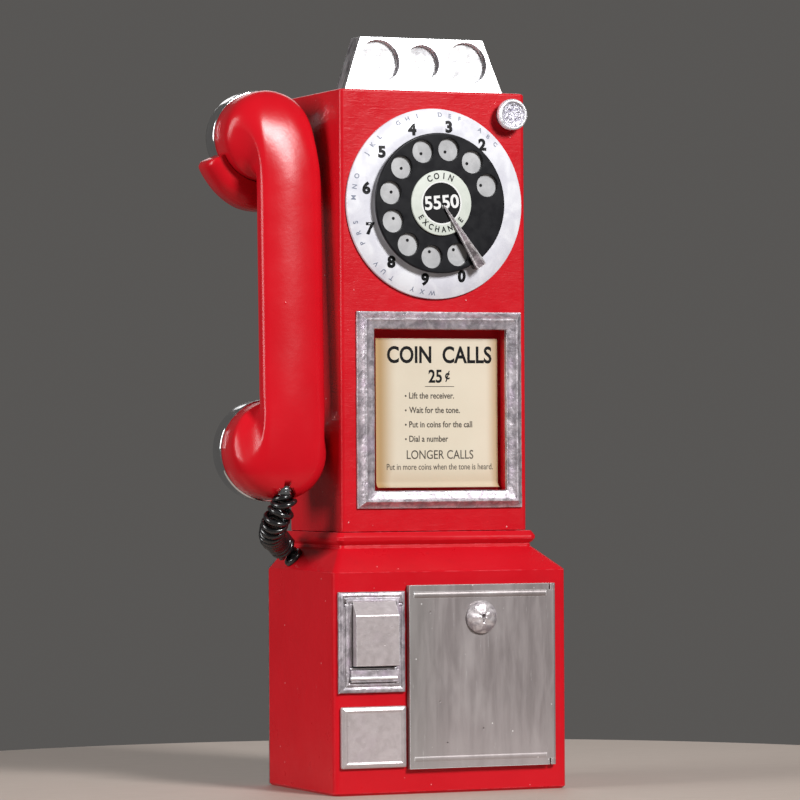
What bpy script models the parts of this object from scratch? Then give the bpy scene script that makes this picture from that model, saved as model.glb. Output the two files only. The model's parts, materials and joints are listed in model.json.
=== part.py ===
"""Wall payphone with a rotary dial, a three-coin gauge, a coin return, a vault door and a hung handset.

Every size is in millimetres and the helpers turn it into metres. X runs to the right as a caller
faces the phone, Y runs back to the wall and Z runs up. The origin is the middle of the flat underside.
"""
from math import cos, hypot, pi, radians, sin

import bmesh
import bpy
from mathutils import Matrix, Vector

MM = 0.001
GAP = 0.3  # clearance between pieces that touch

# Casings
BACK = 56.0  # the wall plane
PLATE = 3.0  # backplate thickness
CASE_BACK = BACK - PLATE - GAP
BASE_HALF = 78.5
BASE_FRONT = -56.0
BASE_WALL_TOP = 138.0
BASE_TOP = 161.0
COLUMN_HALF = 63.0
COLUMN_FRONT = -32.0
COLUMN_TOP = 436.0
HEIGHT = 470.0
WALL = 3.0

# Dial
DIAL_Z = 365.3
PLATE_RADIUS = 59.5
WHEEL_RADIUS = 43.8
WHEEL_FRONT = -43.2
HOLE_RADIUS = 7.1
HOLE_CIRCLE = 34.0
FIRST_HOLE = 20.0  # degrees from +X, seen from the front
HOLE_PITCH = 30.0
STOP_ANGLE = -56.0

# Coin parts
COINS = {"quarter": (-30.8, 13.8), "dime": (-1.3, 11.4), "nickel": (28.7, 13.8)}  # centre x, recess radius
COIN_Z = 454.6
COIN_FLOOR = -14.2

# Coin-return plunger
PLUNGER = (51.0, 422.0)
PLUNGER_RADIUS = 9.8
PLUNGER_NECK = 7.2

# Instruction card
FRAME_X = (-53.0, 59.0)
FRAME_Z = (175.5, 298.0)
FRAME_WIDTH = 11.0
RECESS_FLOOR = -24.0

# Lower front
RETURN_X = (-76.0, -32.0)
RETURN_Z = (63.0, 125.0)
FLAP_PIN = (-57.8, 117.0)  # y, z
DOOR_X = (-30.0, 69.5)
DOOR_Z = (15.5, 128.5)
DOOR_PIN = (67.5, -58.3)  # x, y
LUG = 4.0
LOCK = (18.2, 108.2)  # x, z

# Handset and hook
HANDSET_X = -97.5
EAR_Z = 408.0
EAR_RADIUS = 28.5
MOUTH_Z = 212.0
MOUTH_RADIUS = 31.0
GRIP_HALF = 21.5
GRIP_THICK = 16.0
GRIP_BACK = -16.0  # at the mouth end
GRIP_SHIFT = 8.0  # how much nearer the casing the grip stands than the cups
GRIP_CREASE = (3.0, 3.0)  # front left corner radii
GRIP_SIDE = (11.0, 7.5)  # front right corner radii
GRIP_ROUND = (13.0, 8.0)  # rear corner radii
LEAN = 0.0825  # how far back the handset leans for each unit of height
HOOK_PIN = (-48.0, 376.0)  # x, z

# Cord
CORD_RADIUS = 6.0
CORD_ENTRY = (-72.15, 24.0, 144.0)  # on the left shoulder's slope
SHOULDER_TILT = 47.6  # degrees from upright
FERRULE_Y = -21.0


# Materials

def material(name, colour, roughness, metallic):
    mat = bpy.data.materials.new(name)
    mat.use_nodes = True
    shader = mat.node_tree.nodes["Principled BSDF"]
    shader.inputs["Base Color"].default_value = (*colour, 1.0)
    shader.inputs["Roughness"].default_value = roughness
    shader.inputs["Metallic"].default_value = metallic
    mat.diffuse_color = (*colour, 1.0)
    return mat


MATERIALS = {
    "red": ((0.58, 0.012, 0.022), 0.28, 0.0),
    "silver": ((0.62, 0.61, 0.63), 0.32, 1.0),
    "white": ((0.80, 0.80, 0.84), 0.35, 0.0),
    "black": ((0.012, 0.012, 0.013), 0.25, 0.0),
    "label": ((0.60, 0.64, 0.58), 0.5, 0.0),
    "paper": ((0.78, 0.70, 0.56), 0.8, 0.0),
    "steel": ((0.42, 0.42, 0.43), 0.4, 1.0),
    "brass": ((0.65, 0.48, 0.18), 0.35, 1.0),
    "board": ((0.10, 0.06, 0.04), 0.6, 0.0),
    "copper": ((0.55, 0.22, 0.10), 0.4, 1.0),
}


# Shape helpers

def finish(name, bm, look, smooth=True):
    """Close a bmesh into an object whose faces point out."""
    bmesh.ops.recalc_face_normals(bm, faces=bm.faces)
    mesh = bpy.data.meshes.new(name)
    bm.to_mesh(mesh)
    bm.free()
    if smooth:
        mesh.shade_smooth()
        mesh.set_sharp_from_angle(angle=radians(35))
    obj = bpy.data.objects.new(name, mesh)
    bpy.context.scene.collection.objects.link(obj)
    if look is not None:
        mesh.materials.append(material(name, *MATERIALS[look]))
    return obj


def lofted(name, rings, look):
    """A solid skinned over rings that hold the same number of points, in millimetres."""
    bm = bmesh.new()
    rows = [[bm.verts.new(Vector(p) * MM) for p in ring] for ring in rings]
    count = len(rows[0])
    for low, high in zip(rows, rows[1:]):
        for i in range(count):
            j = (i + 1) % count
            bm.faces.new((low[i], low[j], high[j], high[i]))
    bm.faces.new(rows[0])
    bm.faces.new(rows[-1])
    return finish(name, bm, look)


def place(axis, a, b, along):
    """A point at (a, b) across an axis and at a distance along it."""
    return {"X": (along, a, b), "Y": (a, along, b), "Z": (a, b, along)}[axis]


def prism(name, outline, span, look, axis="Y"):
    """A flat outline extruded along an axis. The outline lies in XZ for Y, YZ for X and XY for Z."""
    return lofted(name, [[place(axis, a, b, t) for a, b in outline] for t in span], look)


def box(name, x, y, z, look, bevel=0.0):
    corners = [(x[0], y[0]), (x[1], y[0]), (x[1], y[1]), (x[0], y[1])]
    obj = prism(name, corners, z, look, axis="Z")
    if bevel:
        rounding = obj.modifiers.new("rounding", "BEVEL")
        rounding.width = bevel * MM
        rounding.segments = 2
        rounding.limit_method = "ANGLE"
    return obj


def turned(name, profile, centre, look, axis="Y", sides=24):
    """A closed profile of (radius, distance along the axis) turned round a line through centre."""
    bm = bmesh.new()
    rows = []
    for radius, along in profile:
        count = sides if radius else 1
        angles = [2 * pi * k / sides for k in range(count)]
        spots = [place(axis, radius * cos(a), radius * sin(a), along) for a in angles]
        rows.append([bm.verts.new((Vector(p) + Vector(centre)) * MM) for p in spots])
    for low, high in zip(rows, rows[1:] + rows[:1]):
        if len(low) == len(high) == 1:
            continue
        for i in range(sides):
            j = (i + 1) % sides
            corners = [low[i % len(low)], low[j % len(low)], high[j % len(high)], high[i % len(high)]]
            bm.faces.new(list(dict.fromkeys(corners)))
    return finish(name, bm, look)


def rod(name, radius, span, centre, look, axis="Y", sides=16):
    start, stop = span
    profile = [(0, start), (radius, start), (radius, stop), (0, stop)]
    return turned(name, profile, centre, look, axis, sides)


def boolean(target, tool, operation):
    change = target.modifiers.new(tool.name, "BOOLEAN")
    change.operation = operation
    change.solver = "EXACT"
    change.object = tool
    tool.hide_render = True
    tool.display_type = "WIRE"


def cut(target, *tools):
    for tool in tools:
        boolean(target, tool, "DIFFERENCE")
    return target


def weld(target, *tools):
    for tool in tools:
        boolean(target, tool, "UNION")
    return target


def arc(centre, radius, start, stop, steps):
    """Points along an arc, angles in degrees."""
    angles = [radians(start + (stop - start) * k / steps) for k in range(steps + 1)]
    return [(centre[0] + radius * cos(a), centre[1] + radius * sin(a)) for a in angles]


# Casings

def casing_ring(out_x, out_y, z, radius, back=CASE_BACK):
    """The casing's outline at one height, standing out from the column by out_x and out_y."""
    half = COLUMN_HALF + out_x
    front = COLUMN_FRONT - out_y
    left = arc((radius - half, front + radius), radius, 180, 270, 3)
    right = arc((half - radius, front + radius), radius, 270, 360, 3)
    return [(x, y, z) for x, y in [(-half, back), *left, *right, (half, back)]]


def vault_housing():
    wide = BASE_HALF - COLUMN_HALF
    deep = COLUMN_FRONT - BASE_FRONT
    outer = [
        (wide - 1.5, deep - 1.5, 0, 3.5),
        (wide, deep, 1.5, 4),
        (wide, deep, BASE_WALL_TOP - 1.2, 4),
        (wide - 0.9, deep - 1.1, BASE_WALL_TOP, 4),
        (3.6, 4.4, 150, 3.5),
        (2.2, 2.6, 151.2, 3.5),
        (2.0, 2.3, 153, 3.5),
        (3.4, 3.5, 154.3, 3.5),
        (4.7, 4.7, 156, 4),
        (4.7, 4.7, 158, 4),
        (2.6, 2.6, BASE_TOP, 3.5),
    ]
    inner = [
        (wide - 3.5, deep - 3.5, 3.5, 1),
        (wide - 3.5, deep - 3.5, BASE_WALL_TOP - 4, 1),
        (-WALL, -WALL, 150, 1),
        (-WALL, -WALL, BASE_TOP + 5, 1),
    ]
    shell = lofted("vault_housing", [casing_ring(*row) for row in outer], "red")
    cut(shell, lofted("vault_housing_room", [casing_ring(*row, back=BACK + 5) for row in inner], None))
    for side in (-1, 1):
        x = sorted((side * 63, side * 76))
        weld(shell, box(f"vault_boss_{side}", x, (43, CASE_BACK), (2, 22), None))
        cut(shell, rod(f"vault_boss_hole_{side}", 1.7, (44.5, 60), (side * 68, 0, 14), None))
    mouth = (BASE_FRONT - 5, BASE_FRONT + 6)
    cut(shell, box("vault_mouth", (-24, 63), mouth, (21, 122), None))
    cut(shell, box("return_mouth", (-69.2, -36.8), mouth, (69.2, 121), None))
    return cut(shell, on_shoulder(rod("cord_mouth", 5.1, (-12, 12), (0, 0, 0), None, axis="Z")))


def upper_housing():
    outer = [
        (0, 0, BASE_TOP + GAP, 3),
        (0, 0, COLUMN_TOP - 1.5, 3),
        (-0.5, -0.5, COLUMN_TOP - 0.4, 3),
        (-1.6, -1.6, COLUMN_TOP, 3),
    ]
    inner = [(-WALL, -WALL, BASE_TOP - 5, 1), (-WALL, -WALL, COLUMN_TOP - WALL, 1)]
    shell = lofted("upper_housing", [casing_ring(*row) for row in outer], "red")
    cut(shell, lofted("upper_housing_room", [casing_ring(*row, back=BACK + 5) for row in inner], None))
    opening_x = (FRAME_X[0] + FRAME_WIDTH, FRAME_X[1] - FRAME_WIDTH)
    opening_z = (FRAME_Z[0] + FRAME_WIDTH, FRAME_Z[1] - FRAME_WIDTH)
    tray_x = (opening_x[0] - 3, opening_x[1] + 3)
    tray_z = (opening_z[0] - 3, opening_z[1] + 3)
    weld(shell, box("card_tray", tray_x, (COLUMN_FRONT + 1, RECESS_FLOOR + 2.5), tray_z, None))
    cut(shell, box("card_recess", opening_x, (COLUMN_FRONT - 5, RECESS_FLOOR), opening_z, None))
    front = (COLUMN_FRONT - 5, COLUMN_FRONT + 5)
    cut(shell, rod("dial_mouth", 41, front, (0, 0, DIAL_Z), None, sides=40))
    cut(shell, rod("plunger_mouth", PLUNGER_NECK + 0.4, front, (PLUNGER[0], 0, PLUNGER[1]), None, sides=24))
    cut(shell, box("coin_mouth", (-46, 46), (-19.5, -6.5), (COLUMN_TOP - 6, COLUMN_TOP + 5), None))
    cut(shell, box("hook_mouth", (-70, -55), (15.2, 28.8), (368.5, 388), None))
    for side in (-1, 1):
        x = sorted((side * 50, side * 61))
        weld(shell, box(f"column_boss_{side}", x, (43, CASE_BACK), (412, 426), None))
        cut(shell, rod(f"column_boss_hole_{side}", 1.7, (44.5, 60), (side * 55, 0, 419), None))
    return shell


SCREWS = {"1": (-68, 14), "2": (68, 14), "3": (-55, 419), "4": (55, 419)}


def backplate():
    low = BASE_HALF - 0.8
    high = COLUMN_HALF - 0.8
    right = [(low, 0.8), (low, BASE_WALL_TOP), (high + 3, 150), (high, BASE_TOP), (high, COLUMN_TOP - 0.8)]
    outline = right + [(-x, z) for x, z in reversed(right)]
    plate = prism("backplate", outline, (BACK - PLATE, BACK), "steel")
    for x, z in ((-50, 100), (50, 100), (-40, 385), (40, 385)):
        cut(plate, rod(f"wall_hole_{x}_{z}", 2.75, (50, 60), (x, 0, z), None, sides=12))
    for key, (x, z) in SCREWS.items():
        seat = [(0, 50), (1.7, 50), (1.7, 54.4), (3.5, 56.2), (3.5, 58), (0, 58)]
        cut(plate, turned(f"screw_seat_{key}", seat, (x, 0, z), None, sides=12))
    return plate


def backplate_screw(key, x, z):
    profile = [(0, 46), (1.3, 46), (1.3, 54.3), (2.9, 55.8), (0, 55.8)]
    return turned(f"backplate_screw_{key}", profile, (x, 0, z), "steel", sides=12)


# Coin works

def coin_head():
    """A leaning trapezoid block with three coin recesses, each slotted behind its lower lip."""
    rings = []
    foot, top = COLUMN_TOP + GAP, HEIGHT
    for z, left, right, front, back in ((foot, -55, 52.5, -21, -5), (top, -43, 40.5, -17.5, -3)):
        rings.append([(left, front, z), (right, front, z), (right, back, z), (left, back, z)])
    head = lofted("coin_head", rings, "silver")
    rounding = head.modifiers.new("rounding", "BEVEL")
    rounding.width = 1.2 * MM
    rounding.segments = 2
    for coin, (x, radius) in COINS.items():
        cut(head, rod(f"{coin}_recess", radius, (-30, COIN_FLOOR), (x, 0, COIN_Z), None, sides=28))
        slot = (x - radius + 2, x + radius - 2)
        cut(head, box(f"{coin}_slot", slot, (COIN_FLOOR - 2.9, COIN_FLOOR - 0.1), (430, COIN_Z), None))
    return head


def duct(name, sections, thickness, look):
    """A sheet-metal duct through rectangular sections of (half width, front, back, z), open at both ends."""

    def ring(half, front, back, z):
        return [(-half, front, z), (half, front, z), (half, back, z), (-half, back, z)]

    shell = lofted(name, [ring(*row) for row in sections], look)
    rows = [(h - thickness, f + thickness, b - thickness, z) for h, f, b, z in sections]
    top = (*rows[0][:3], rows[0][3] + 4)
    bottom = (*rows[-1][:3], rows[-1][3] - 4)
    cut(shell, lofted(f"{name}_room", [ring(*row) for row in [top, *rows, bottom]], None))
    return shell


def coin_works():
    duct("coin_chute", [(44.5, -19, -7, 432.5), (44, -17, -5, 428), (38, 5, 17, 402), (30, 5, 17, 340),
                        (14, 5, 17, 300)], 1.2, "steel")
    duct("coin_hopper", [(17, 2, 20, 299.6), (17, 2, 20, 262)], 1.4, "brass")
    duct("drop_chute", [(13, 5, 17, 261.6), (13, 5, 17, 158)], 1.2, "steel")
    coil = [(0, 264), (9, 264), (9, 266), (7.5, 266), (7.5, 292), (9, 292), (9, 294), (0, 294)]
    turned("coin_relay_coil", coil, (28, 11, 0), "copper", axis="Z", sides=16)


def coin_diverter():
    """An upturned Y: the left leg feeds the return tray, and the right leg feeds the cash box."""
    outer = [(-13, 157.6), (-13, 146), (-62, 110), (-62, 101), (-44, 101), (-44, 108), (0, 136), (18, 112),
             (18, 101), (34, 101), (34, 112), (13, 146), (13, 157.6)]
    inner = [(-11.8, 161), (-11.8, 145.4), (-60.8, 109.4), (-60.8, 98), (-45.2, 98), (-45.2, 108.7),
             (0, 137.6), (19.2, 112.4), (19.2, 98), (32.8, 98), (32.8, 111.6), (11.8, 145.6), (11.8, 161)]
    shell = prism("coin_diverter", outer, (5, 17), "steel")
    cut(shell, prism("coin_diverter_room", inner, (6.2, 15.8), None))
    cut(shell, rod("vane_bearing", 1.4, (0, 22), (0, 0, 141.5), None, sides=12))
    return shell


def coin_vane():
    vane = box("coin_vane", (-0.6, 0.6), (6.7, 15.3), (141.5, 153), "brass")
    weld(vane, rod("vane_shaft", 1.1, (3.5, 18.5), (0, 0, 141.5), None, sides=12))
    tilt = Matrix.Translation((0, 0, 141.5 * MM)) @ Matrix.Rotation(radians(-32), 4, "Y")
    turn = tilt @ Matrix.Translation((0, 0, -141.5 * MM))
    vane.data.transform(turn)
    return vane


def cash_box():
    tin = box("cash_box", (-21, 60), (-47, 46), (3.8, 94), "steel")
    cut(tin, box("cash_box_room", (-19.6, 58.6), (-45.6, 44.6), (5.2, 100), None))
    handle = box("cash_box_handle", (2, 36), (-51, -47.3), (64, 70), "steel")
    cut(handle, box("cash_box_grip", (6, 32), (-49.6, -40), (60, 75), None))


# Dial

def number_plate():
    profile = [
        (9, -36.2), (9, -37.6), (46, -37.6), (50, -37.0), (58.2, -35.2), (PLATE_RADIUS, -34.2),
        (PLATE_RADIUS, COLUMN_FRONT - GAP), (57.6, COLUMN_FRONT - GAP), (49, -35.4), (45, -36.2),
    ]
    return turned("number_plate", profile, (0, 0, DIAL_Z), "white", sides=36)


def dial_case():
    profile = [(39.5, -35.8), (39.5, -10), (4.6, -10), (4.6, -12), (37.6, -12), (37.6, -35.8)]
    return turned("dial_case", profile, (0, 0, DIAL_Z), "steel", sides=24)


def finger_wheel():
    wheel = turned("finger_wheel", [
        (6.2, WHEEL_FRONT), (WHEEL_RADIUS - 0.7, WHEEL_FRONT), (WHEEL_RADIUS, WHEEL_FRONT + 0.6),
        (WHEEL_RADIUS, WHEEL_FRONT + 2.2), (6.2, WHEEL_FRONT + 2.2),
    ], (0, 0, DIAL_Z), "black", sides=48)
    for number in range(10):
        a = radians(FIRST_HOLE + number * HOLE_PITCH)
        spot = (HOLE_CIRCLE * cos(a), 0, DIAL_Z + HOLE_CIRCLE * sin(a))
        cut(wheel, rod(f"finger_hole_{number}", HOLE_RADIUS, (-50, -38), spot, None, sides=14))
    return wheel


def dial_centre():
    at = (0, 0, DIAL_Z)
    shaft = [(0, -43), (5.9, -43), (5.9, -40.7), (10, -40.7), (10, -38.4), (3.9, -38.4), (3.9, -6), (0, -6)]
    turned("dial_shaft", shaft, at, "steel", sides=20)
    card = [(0, -43.5), (20.3, -43.5), (20.3, -44.2), (19.7, -44.6), (0, -44.6)]
    turned("dial_card", card, at, "label", sides=36)
    turned("drive_gear", [(4.2, -26), (20, -26), (20, -23.6), (4.2, -23.6)], at, "brass", sides=24)
    rotor = [(0, -30), (1.5, -30), (1.5, -26), (4.8, -26), (4.8, -23.6), (1.5, -23.6), (1.5, -21), (9, -21),
             (9, -15), (1.5, -15), (1.5, -12.4), (0, -12.4)]
    turned("governor_rotor", rotor, (25.5, 0, DIAL_Z), "brass", sides=14)


def finger_stop():
    """A tapered blade over the wheel, held by a foot outside the wheel's edge."""
    blade = [(2.0, -0.35), (2.0, 0.35), (43, 3.5), (47.6, 3.4), (47.6, -3.4), (43, -3.5)]
    stop = prism("finger_stop", blade, (-46.4, -45.2), "silver")
    foot = [(44.9, -3.0), (44.9, 3.0), (47.4, 3.0), (47.4, -3.0)]
    root = prism("finger_stop_foot", foot, (-45.8, -37.9), None)
    turn = Matrix.Translation((0, 0, DIAL_Z * MM)) @ Matrix.Rotation(radians(-STOP_ANGLE), 4, "Y")
    stop.data.transform(turn)
    root.data.transform(turn)
    return weld(stop, root)


# Coin-return plunger

def plunger():
    x, z = PLUNGER
    r = PLUNGER_RADIUS
    face = [(0, -40.2), (7.4, -40.2), (7.9, -41.5)]
    side = [(r - 0.6, -41.5), (r, -40.9), (r, -37.8), (r - 0.4, -37.4)]
    neck = [(PLUNGER_NECK, -37.4), (PLUNGER_NECK, -28.7), (8.5, -28.7), (8.5, -27.3)]
    stem = [(3, -27.3), (3, -12), (0, -12)]
    profile = face + side + neck + stem
    turned("return_plunger", profile, (x, 0, z), "silver", sides=22)
    bracket = box("plunger_bracket", (46, 59.6), (-8, -6.4), (413, 431), "steel")
    cut(bracket, rod("plunger_guide", 3.4, (-12, 0), (x, 0, z), None))


def plunger_spring():
    """A compression spring round the plunger's stem."""
    turns, steps, radius, wire = 5, 8, 4.4, 0.45
    start, stop = -26.5, -8.8
    curve = bpy.data.curves.new("plunger_spring", "CURVE")
    curve.dimensions = "3D"
    curve.bevel_depth = wire * MM
    curve.bevel_resolution = 0
    curve.use_fill_caps = True
    spline = curve.splines.new("POLY")
    count = turns * steps
    spline.points.add(count)
    for k in range(count + 1):
        a = 2 * pi * k / steps
        y = start + (stop - start) * k / count
        spot = Vector((PLUNGER[0] + radius * cos(a), y, PLUNGER[1] + radius * sin(a))) * MM
        spline.points[k].co = (*spot, 1)
    curve.materials.append(material("plunger_spring", *MATERIALS["steel"]))
    spring = bpy.data.objects.new("plunger_spring", curve)
    bpy.context.scene.collection.objects.link(spring)
    return spring


# Instruction card

def card_frame():
    """A picture frame: its section rises to a ridge and falls to the opening."""
    section = [(0, GAP), (0, 1.6), (4.2, 5.4), (5.2, 5.4), (FRAME_WIDTH, 2.8), (FRAME_WIDTH, GAP)]
    bm = bmesh.new()
    rows = []
    for inset, rise in section:
        x0, x1 = FRAME_X[0] + inset, FRAME_X[1] - inset
        z0, z1 = FRAME_Z[0] + inset, FRAME_Z[1] - inset
        y = COLUMN_FRONT - rise
        corners = ((x0, y, z0), (x1, y, z0), (x1, y, z1), (x0, y, z1))
        rows.append([bm.verts.new(Vector(p) * MM) for p in corners])
    for low, high in zip(rows, rows[1:] + rows[:1]):
        for i in range(4):
            j = (i + 1) % 4
            bm.faces.new((low[i], low[j], high[j], high[i]))
    return finish("card_frame", bm, "silver", smooth=False)


def instruction_card():
    """A thin card that stands in the recess, its bottom edge curled forward."""
    y, thick, curl = RECESS_FLOOR - 0.9, 0.5, 4.0
    bottom = FRAME_Z[0] + FRAME_WIDTH + 1.5
    front = arc((y - curl - thick, bottom + curl + thick), curl, 0, -70, 5)
    back = arc((y - curl - thick, bottom + curl + thick), curl + thick, 0, -70, 5)
    outline = [(y - thick, 281.5), *front, *reversed(back), (y, 281.5)]
    return prism("instruction_card", outline, (-37.0, 46.0), "paper", axis="X")


# Coin return

def return_bezel():
    bezel = box("return_bezel", RETURN_X, (-59.3, BASE_FRONT - GAP), RETURN_Z, "silver", bevel=0.8)
    cut(bezel, box("bezel_mouth", (-69.5, -36.5), (-65, -50), (69, 121), None))
    cut(bezel, rod("bezel_pin_hole", 1.25, (-72.5, -33.5), (0, *FLAP_PIN), None, axis="X", sides=12))
    rod("flap_pin", 1.0, (-72.2, -33.8), (0, *FLAP_PIN), "steel", axis="X", sides=12)
    return bezel


def return_flap():
    """A hooded flap: sloping top, flat front and two cheeks, open behind and below."""
    outer = [(-56.4, 120.2), (-58.2, 120.2), (-65, 110.5), (-65, 79.6), (-56.4, 79.6)]
    inner = [(-50, 118.9), (-57.5, 118.9), (-63.7, 110.0), (-63.7, 70), (-50, 70)]
    flap = prism("return_flap", outer, (-67.2, -38.8), "silver", axis="X")
    cut(flap, prism("return_flap_room", inner, (-65.9, -40.1), None, axis="X"))
    cut(flap, rod("flap_bore", 1.3, (-75, -30), (0, *FLAP_PIN), None, axis="X", sides=12))
    return flap


def return_tray():
    """A scoop whose floor slopes down to the front from under the diverter's left leg."""
    outer = [(-61, 69.7), (-61, 77.2), (-55.5, 77.2), (-50, 97.5), (18.4, 97.5), (18.4, 85.4), (-26, 69.7)]
    inner = [(-59.7, 70.9), (-26.2, 70.9), (17.2, 86.3), (17.2, 110), (-59.7, 110)]
    tray = prism("return_tray", outer, (-68.9, -37.1), "silver", axis="X")
    return cut(tray, prism("return_tray_room", inner, (-67.8, -38.2), None, axis="X"))


# Vault

def access_plate():
    rings = []
    for inset, y in ((0, BASE_FRONT - GAP), (0, -58.2), (2.0, -59.6)):
        x0, x1 = -74.6 + inset, -31.6 - inset
        z0, z1 = 16.8 + inset, 54.6 - inset
        rings.append([(x0, y, z0), (x1, y, z0), (x1, y, z1), (x0, y, z1)])
    return lofted("access_plate", rings, "silver")


def door_outline(left, half):
    """The door's section seen from above: flat plate, with its right edge rounded about the hinge pins."""
    x, y = DOOR_PIN
    return [(left, y + half), (left, y - half), *arc(DOOR_PIN, half, -90, 90, 6)]


def vault_door():
    x, y = DOOR_PIN
    low, high = DOOR_Z
    door = prism("vault_door", door_outline(DOOR_X[0], 2.0), DOOR_Z, "silver", axis="Z")
    for z in (low + 6, high - 6):
        weld(door, box(f"door_rib_{z:.0f}", (DOOR_X[0] + 3, x - 5), (-61.2, -60), (z - 1.2, z + 1.2), None))
    cut(door, rod("lock_bore", 8.4, (-70, -50), (LOCK[0], 0, LOCK[1]), None, sides=24))
    for end, notch, bore in (
        ("low", (low - 5, low + LUG), (low - 5, low + 12)),
        ("high", (high - LUG, high + 5), (high - 12, high + 5)),
    ):
        cut(door, box(f"door_notch_{end}", (x - 3, x + 8), (-70, -50), notch, None))
        cut(door, rod(f"door_pin_bore_{end}", 1.4, bore, (x, y, 0), None, axis="Z", sides=10))
    return door


def door_pivots():
    """Lugs that fill the notches in the door's right corners, each with a pin into the door."""
    x, y = DOOR_PIN
    low, high = DOOR_Z
    for name, block, pin in (
        ("upper", (high - LUG + GAP, high), (high - 11, high - 2)),
        ("lower", (low, low + LUG - GAP), (low + 2, low + 11)),
    ):
        lug = prism(f"door_pivot_{name}", door_outline(x - 2, 2.0), block, "silver", axis="Z")
        weld(lug, rod(f"door_pivot_pin_{name}", 1.1, pin, (x, y, 0), None, axis="Z", sides=10))


def vault_lock():
    x, z = LOCK
    profile = [(0, -65.4), (4.5, -65.0), (8, -63.9), (10.2, -62.2), (10.2, -60.6), (8, -60.6), (8, -52),
               (3, -52), (3, -48.6), (0, -48.6)]
    cylinder = turned("lock_cylinder", profile, (x, 0, z), "silver", sides=28)
    cut(cylinder, box("keyhole", (x - 0.8, x + 0.8), (-70, -61.5), (z - 2.8, z + 2.8), None))
    ends = [*arc((x, z), 5.5, -70, 70, 6), *arc((x - 16, z), 3.0, 100, 260, 5)]
    cam = prism("lock_cam", ends, (-51.8, -50), "steel")
    cut(cam, rod("lock_cam_bore", 3.3, (-60, -40), (x, 0, z), None))


# Switch hook

def hook_cradle():
    """A saddle under the ear cup: the cup's circle inside, and a scoop outside that runs to a tip."""
    rest = arc((0, 0), EAR_RADIUS + 1.5, 208, 334, 10)
    scoop = [(28.3, -13.6), (28.3, -38), (23, -42.5), (12, -45.6), (0, -46), (-11, -43.8), (-22, -37),
             (-30.5, -27.5), (-36.5, -17.5), (-34.5, -15)]
    outline = [(HANDSET_X + x, EAR_Z + z) for x, z in rest + scoop]
    cradle = prism("hook_cradle", outline, (9, 31.5), "red")
    rounding = cradle.modifiers.new("rounding", "BEVEL")
    rounding.width = 1.2 * MM
    rounding.segments = 2
    rounding.limit_method = "ANGLE"
    rounding.angle_limit = radians(50)
    return cradle


def hook_arm():
    x, z = HOOK_PIN
    arm = box("hook_arm", (HANDSET_X + 28.6, x - 2), (16, 28), (371.4, 380), "steel")
    hub = rod("hook_hub", 5, (13.2, 30.8), (x, 0, z), None, sides=16)
    tail = box("hook_tail", (x + 2, -31), (20, 24), (374, 378), None)
    weld(arm, hub, tail)
    return cut(arm, rod("hook_bore", 1.8, (0, 40), (x, 0, z), None, sides=12))


def hook_mount():
    x, z = HOOK_PIN
    bracket = box("hook_bracket", (-59.6, -58), (10.5, 33.5), (364, 392), "steel")
    for name, y in (("front", (10.5, 12.6)), ("rear", (31.4, 33.5))):
        weld(bracket, box(f"hook_ear_{name}", (-58.8, x + 4), y, (370, 382), None))
    cut(bracket, box("hook_window", (-65, -50), (14.5, 29.5), (367, 389), None))
    cut(bracket, rod("hook_ear_bore", 1.8, (5, 40), (x, 0, z), None, sides=12))
    rod("hook_pin", 1.5, (9.5, 34.5), (x, 0, z), "steel", sides=12)
    box("hook_switch", (-37, -25), (19, 26), (379.5, 396), "board")


# Handset

def lean(y, z):
    """Where a point of the upright handset lies once the handset leans back."""
    return y + (z - MOUTH_Z) * LEAN


def section(half_x, half_n, right, left, rear):
    """A rounded section of (across, outward) points. Each corner is an ellipse, given as its two radii."""
    corners = [
        (half_x - right[0], half_n - right[1], right, 0),
        (left[0] - half_x, half_n - left[1], left, 90),
        (rear[0] - half_x, rear[1] - half_n, rear, 180),
        (half_x - rear[0], rear[1] - half_n, rear, 270),
    ]
    steps = 5
    points = []
    for cx, cn, radii, start in corners:
        for k in range(steps):
            a = radians(start + 90 * (k + 0.5) / steps)
            points.append((cx + radii[0] * cos(a), cn + radii[1] * sin(a)))
    return points


def elbow(pivot_z, cup_radius, up, steps=7):
    """Rings that turn from the cup's circle to the grip's flat section, round a small inner fillet."""
    fillet = 5.0
    pivot_y = GRIP_BACK + fillet
    deep = GRIP_THICK + fillet
    tall = 2 * cup_radius + fillet
    power = 3.0
    rings = []
    for k in range(steps + 1):
        a = radians(90) * k / steps
        reach = ((sin(a) / deep) ** power + (cos(a) / tall) ** power) ** (-1 / power)
        thick = reach - fillet
        blend = max(0.0, (thick - GRIP_THICK) / (2 * cup_radius - GRIP_THICK))
        half_x = GRIP_HALF + (cup_radius - GRIP_HALF) * blend**2 - 6 * blend * (1 - blend)
        middle = HANDSET_X + GRIP_SHIFT * (1 - blend**1.5)
        corners = []
        for small, power in ((GRIP_SIDE, 2), (GRIP_CREASE, 3), (GRIP_ROUND, 1)):
            rx, rn = [r + (cup_radius - r) * blend**power for r in small]
            corners.append((min(rx, half_x), min(rn, thick / 2)))
        ring = []
        for across, outward in section(half_x, thick / 2, *corners):
            distance = fillet + thick / 2 + outward
            y = pivot_y - sin(a) * distance
            z = pivot_z + up * cos(a) * distance
            ring.append((middle + across, lean(y, z), z))
        rings.append(ring)
    return rings


def cup_rings(cup_z, radius, stations):
    """Circles round a cup's own axis. Each station is (y, radius)."""
    rings = []
    for y, r in stations:
        circle = section(r, r, (r, r), (r, r), (r, r))
        rings.append([(HANDSET_X + a, lean(y, cup_z), cup_z + n) for a, n in circle])
    return rings


CUP_END = 4.0  # where each red cup meets its cap, before the lean
CAP_LENGTH = 20.0


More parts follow.
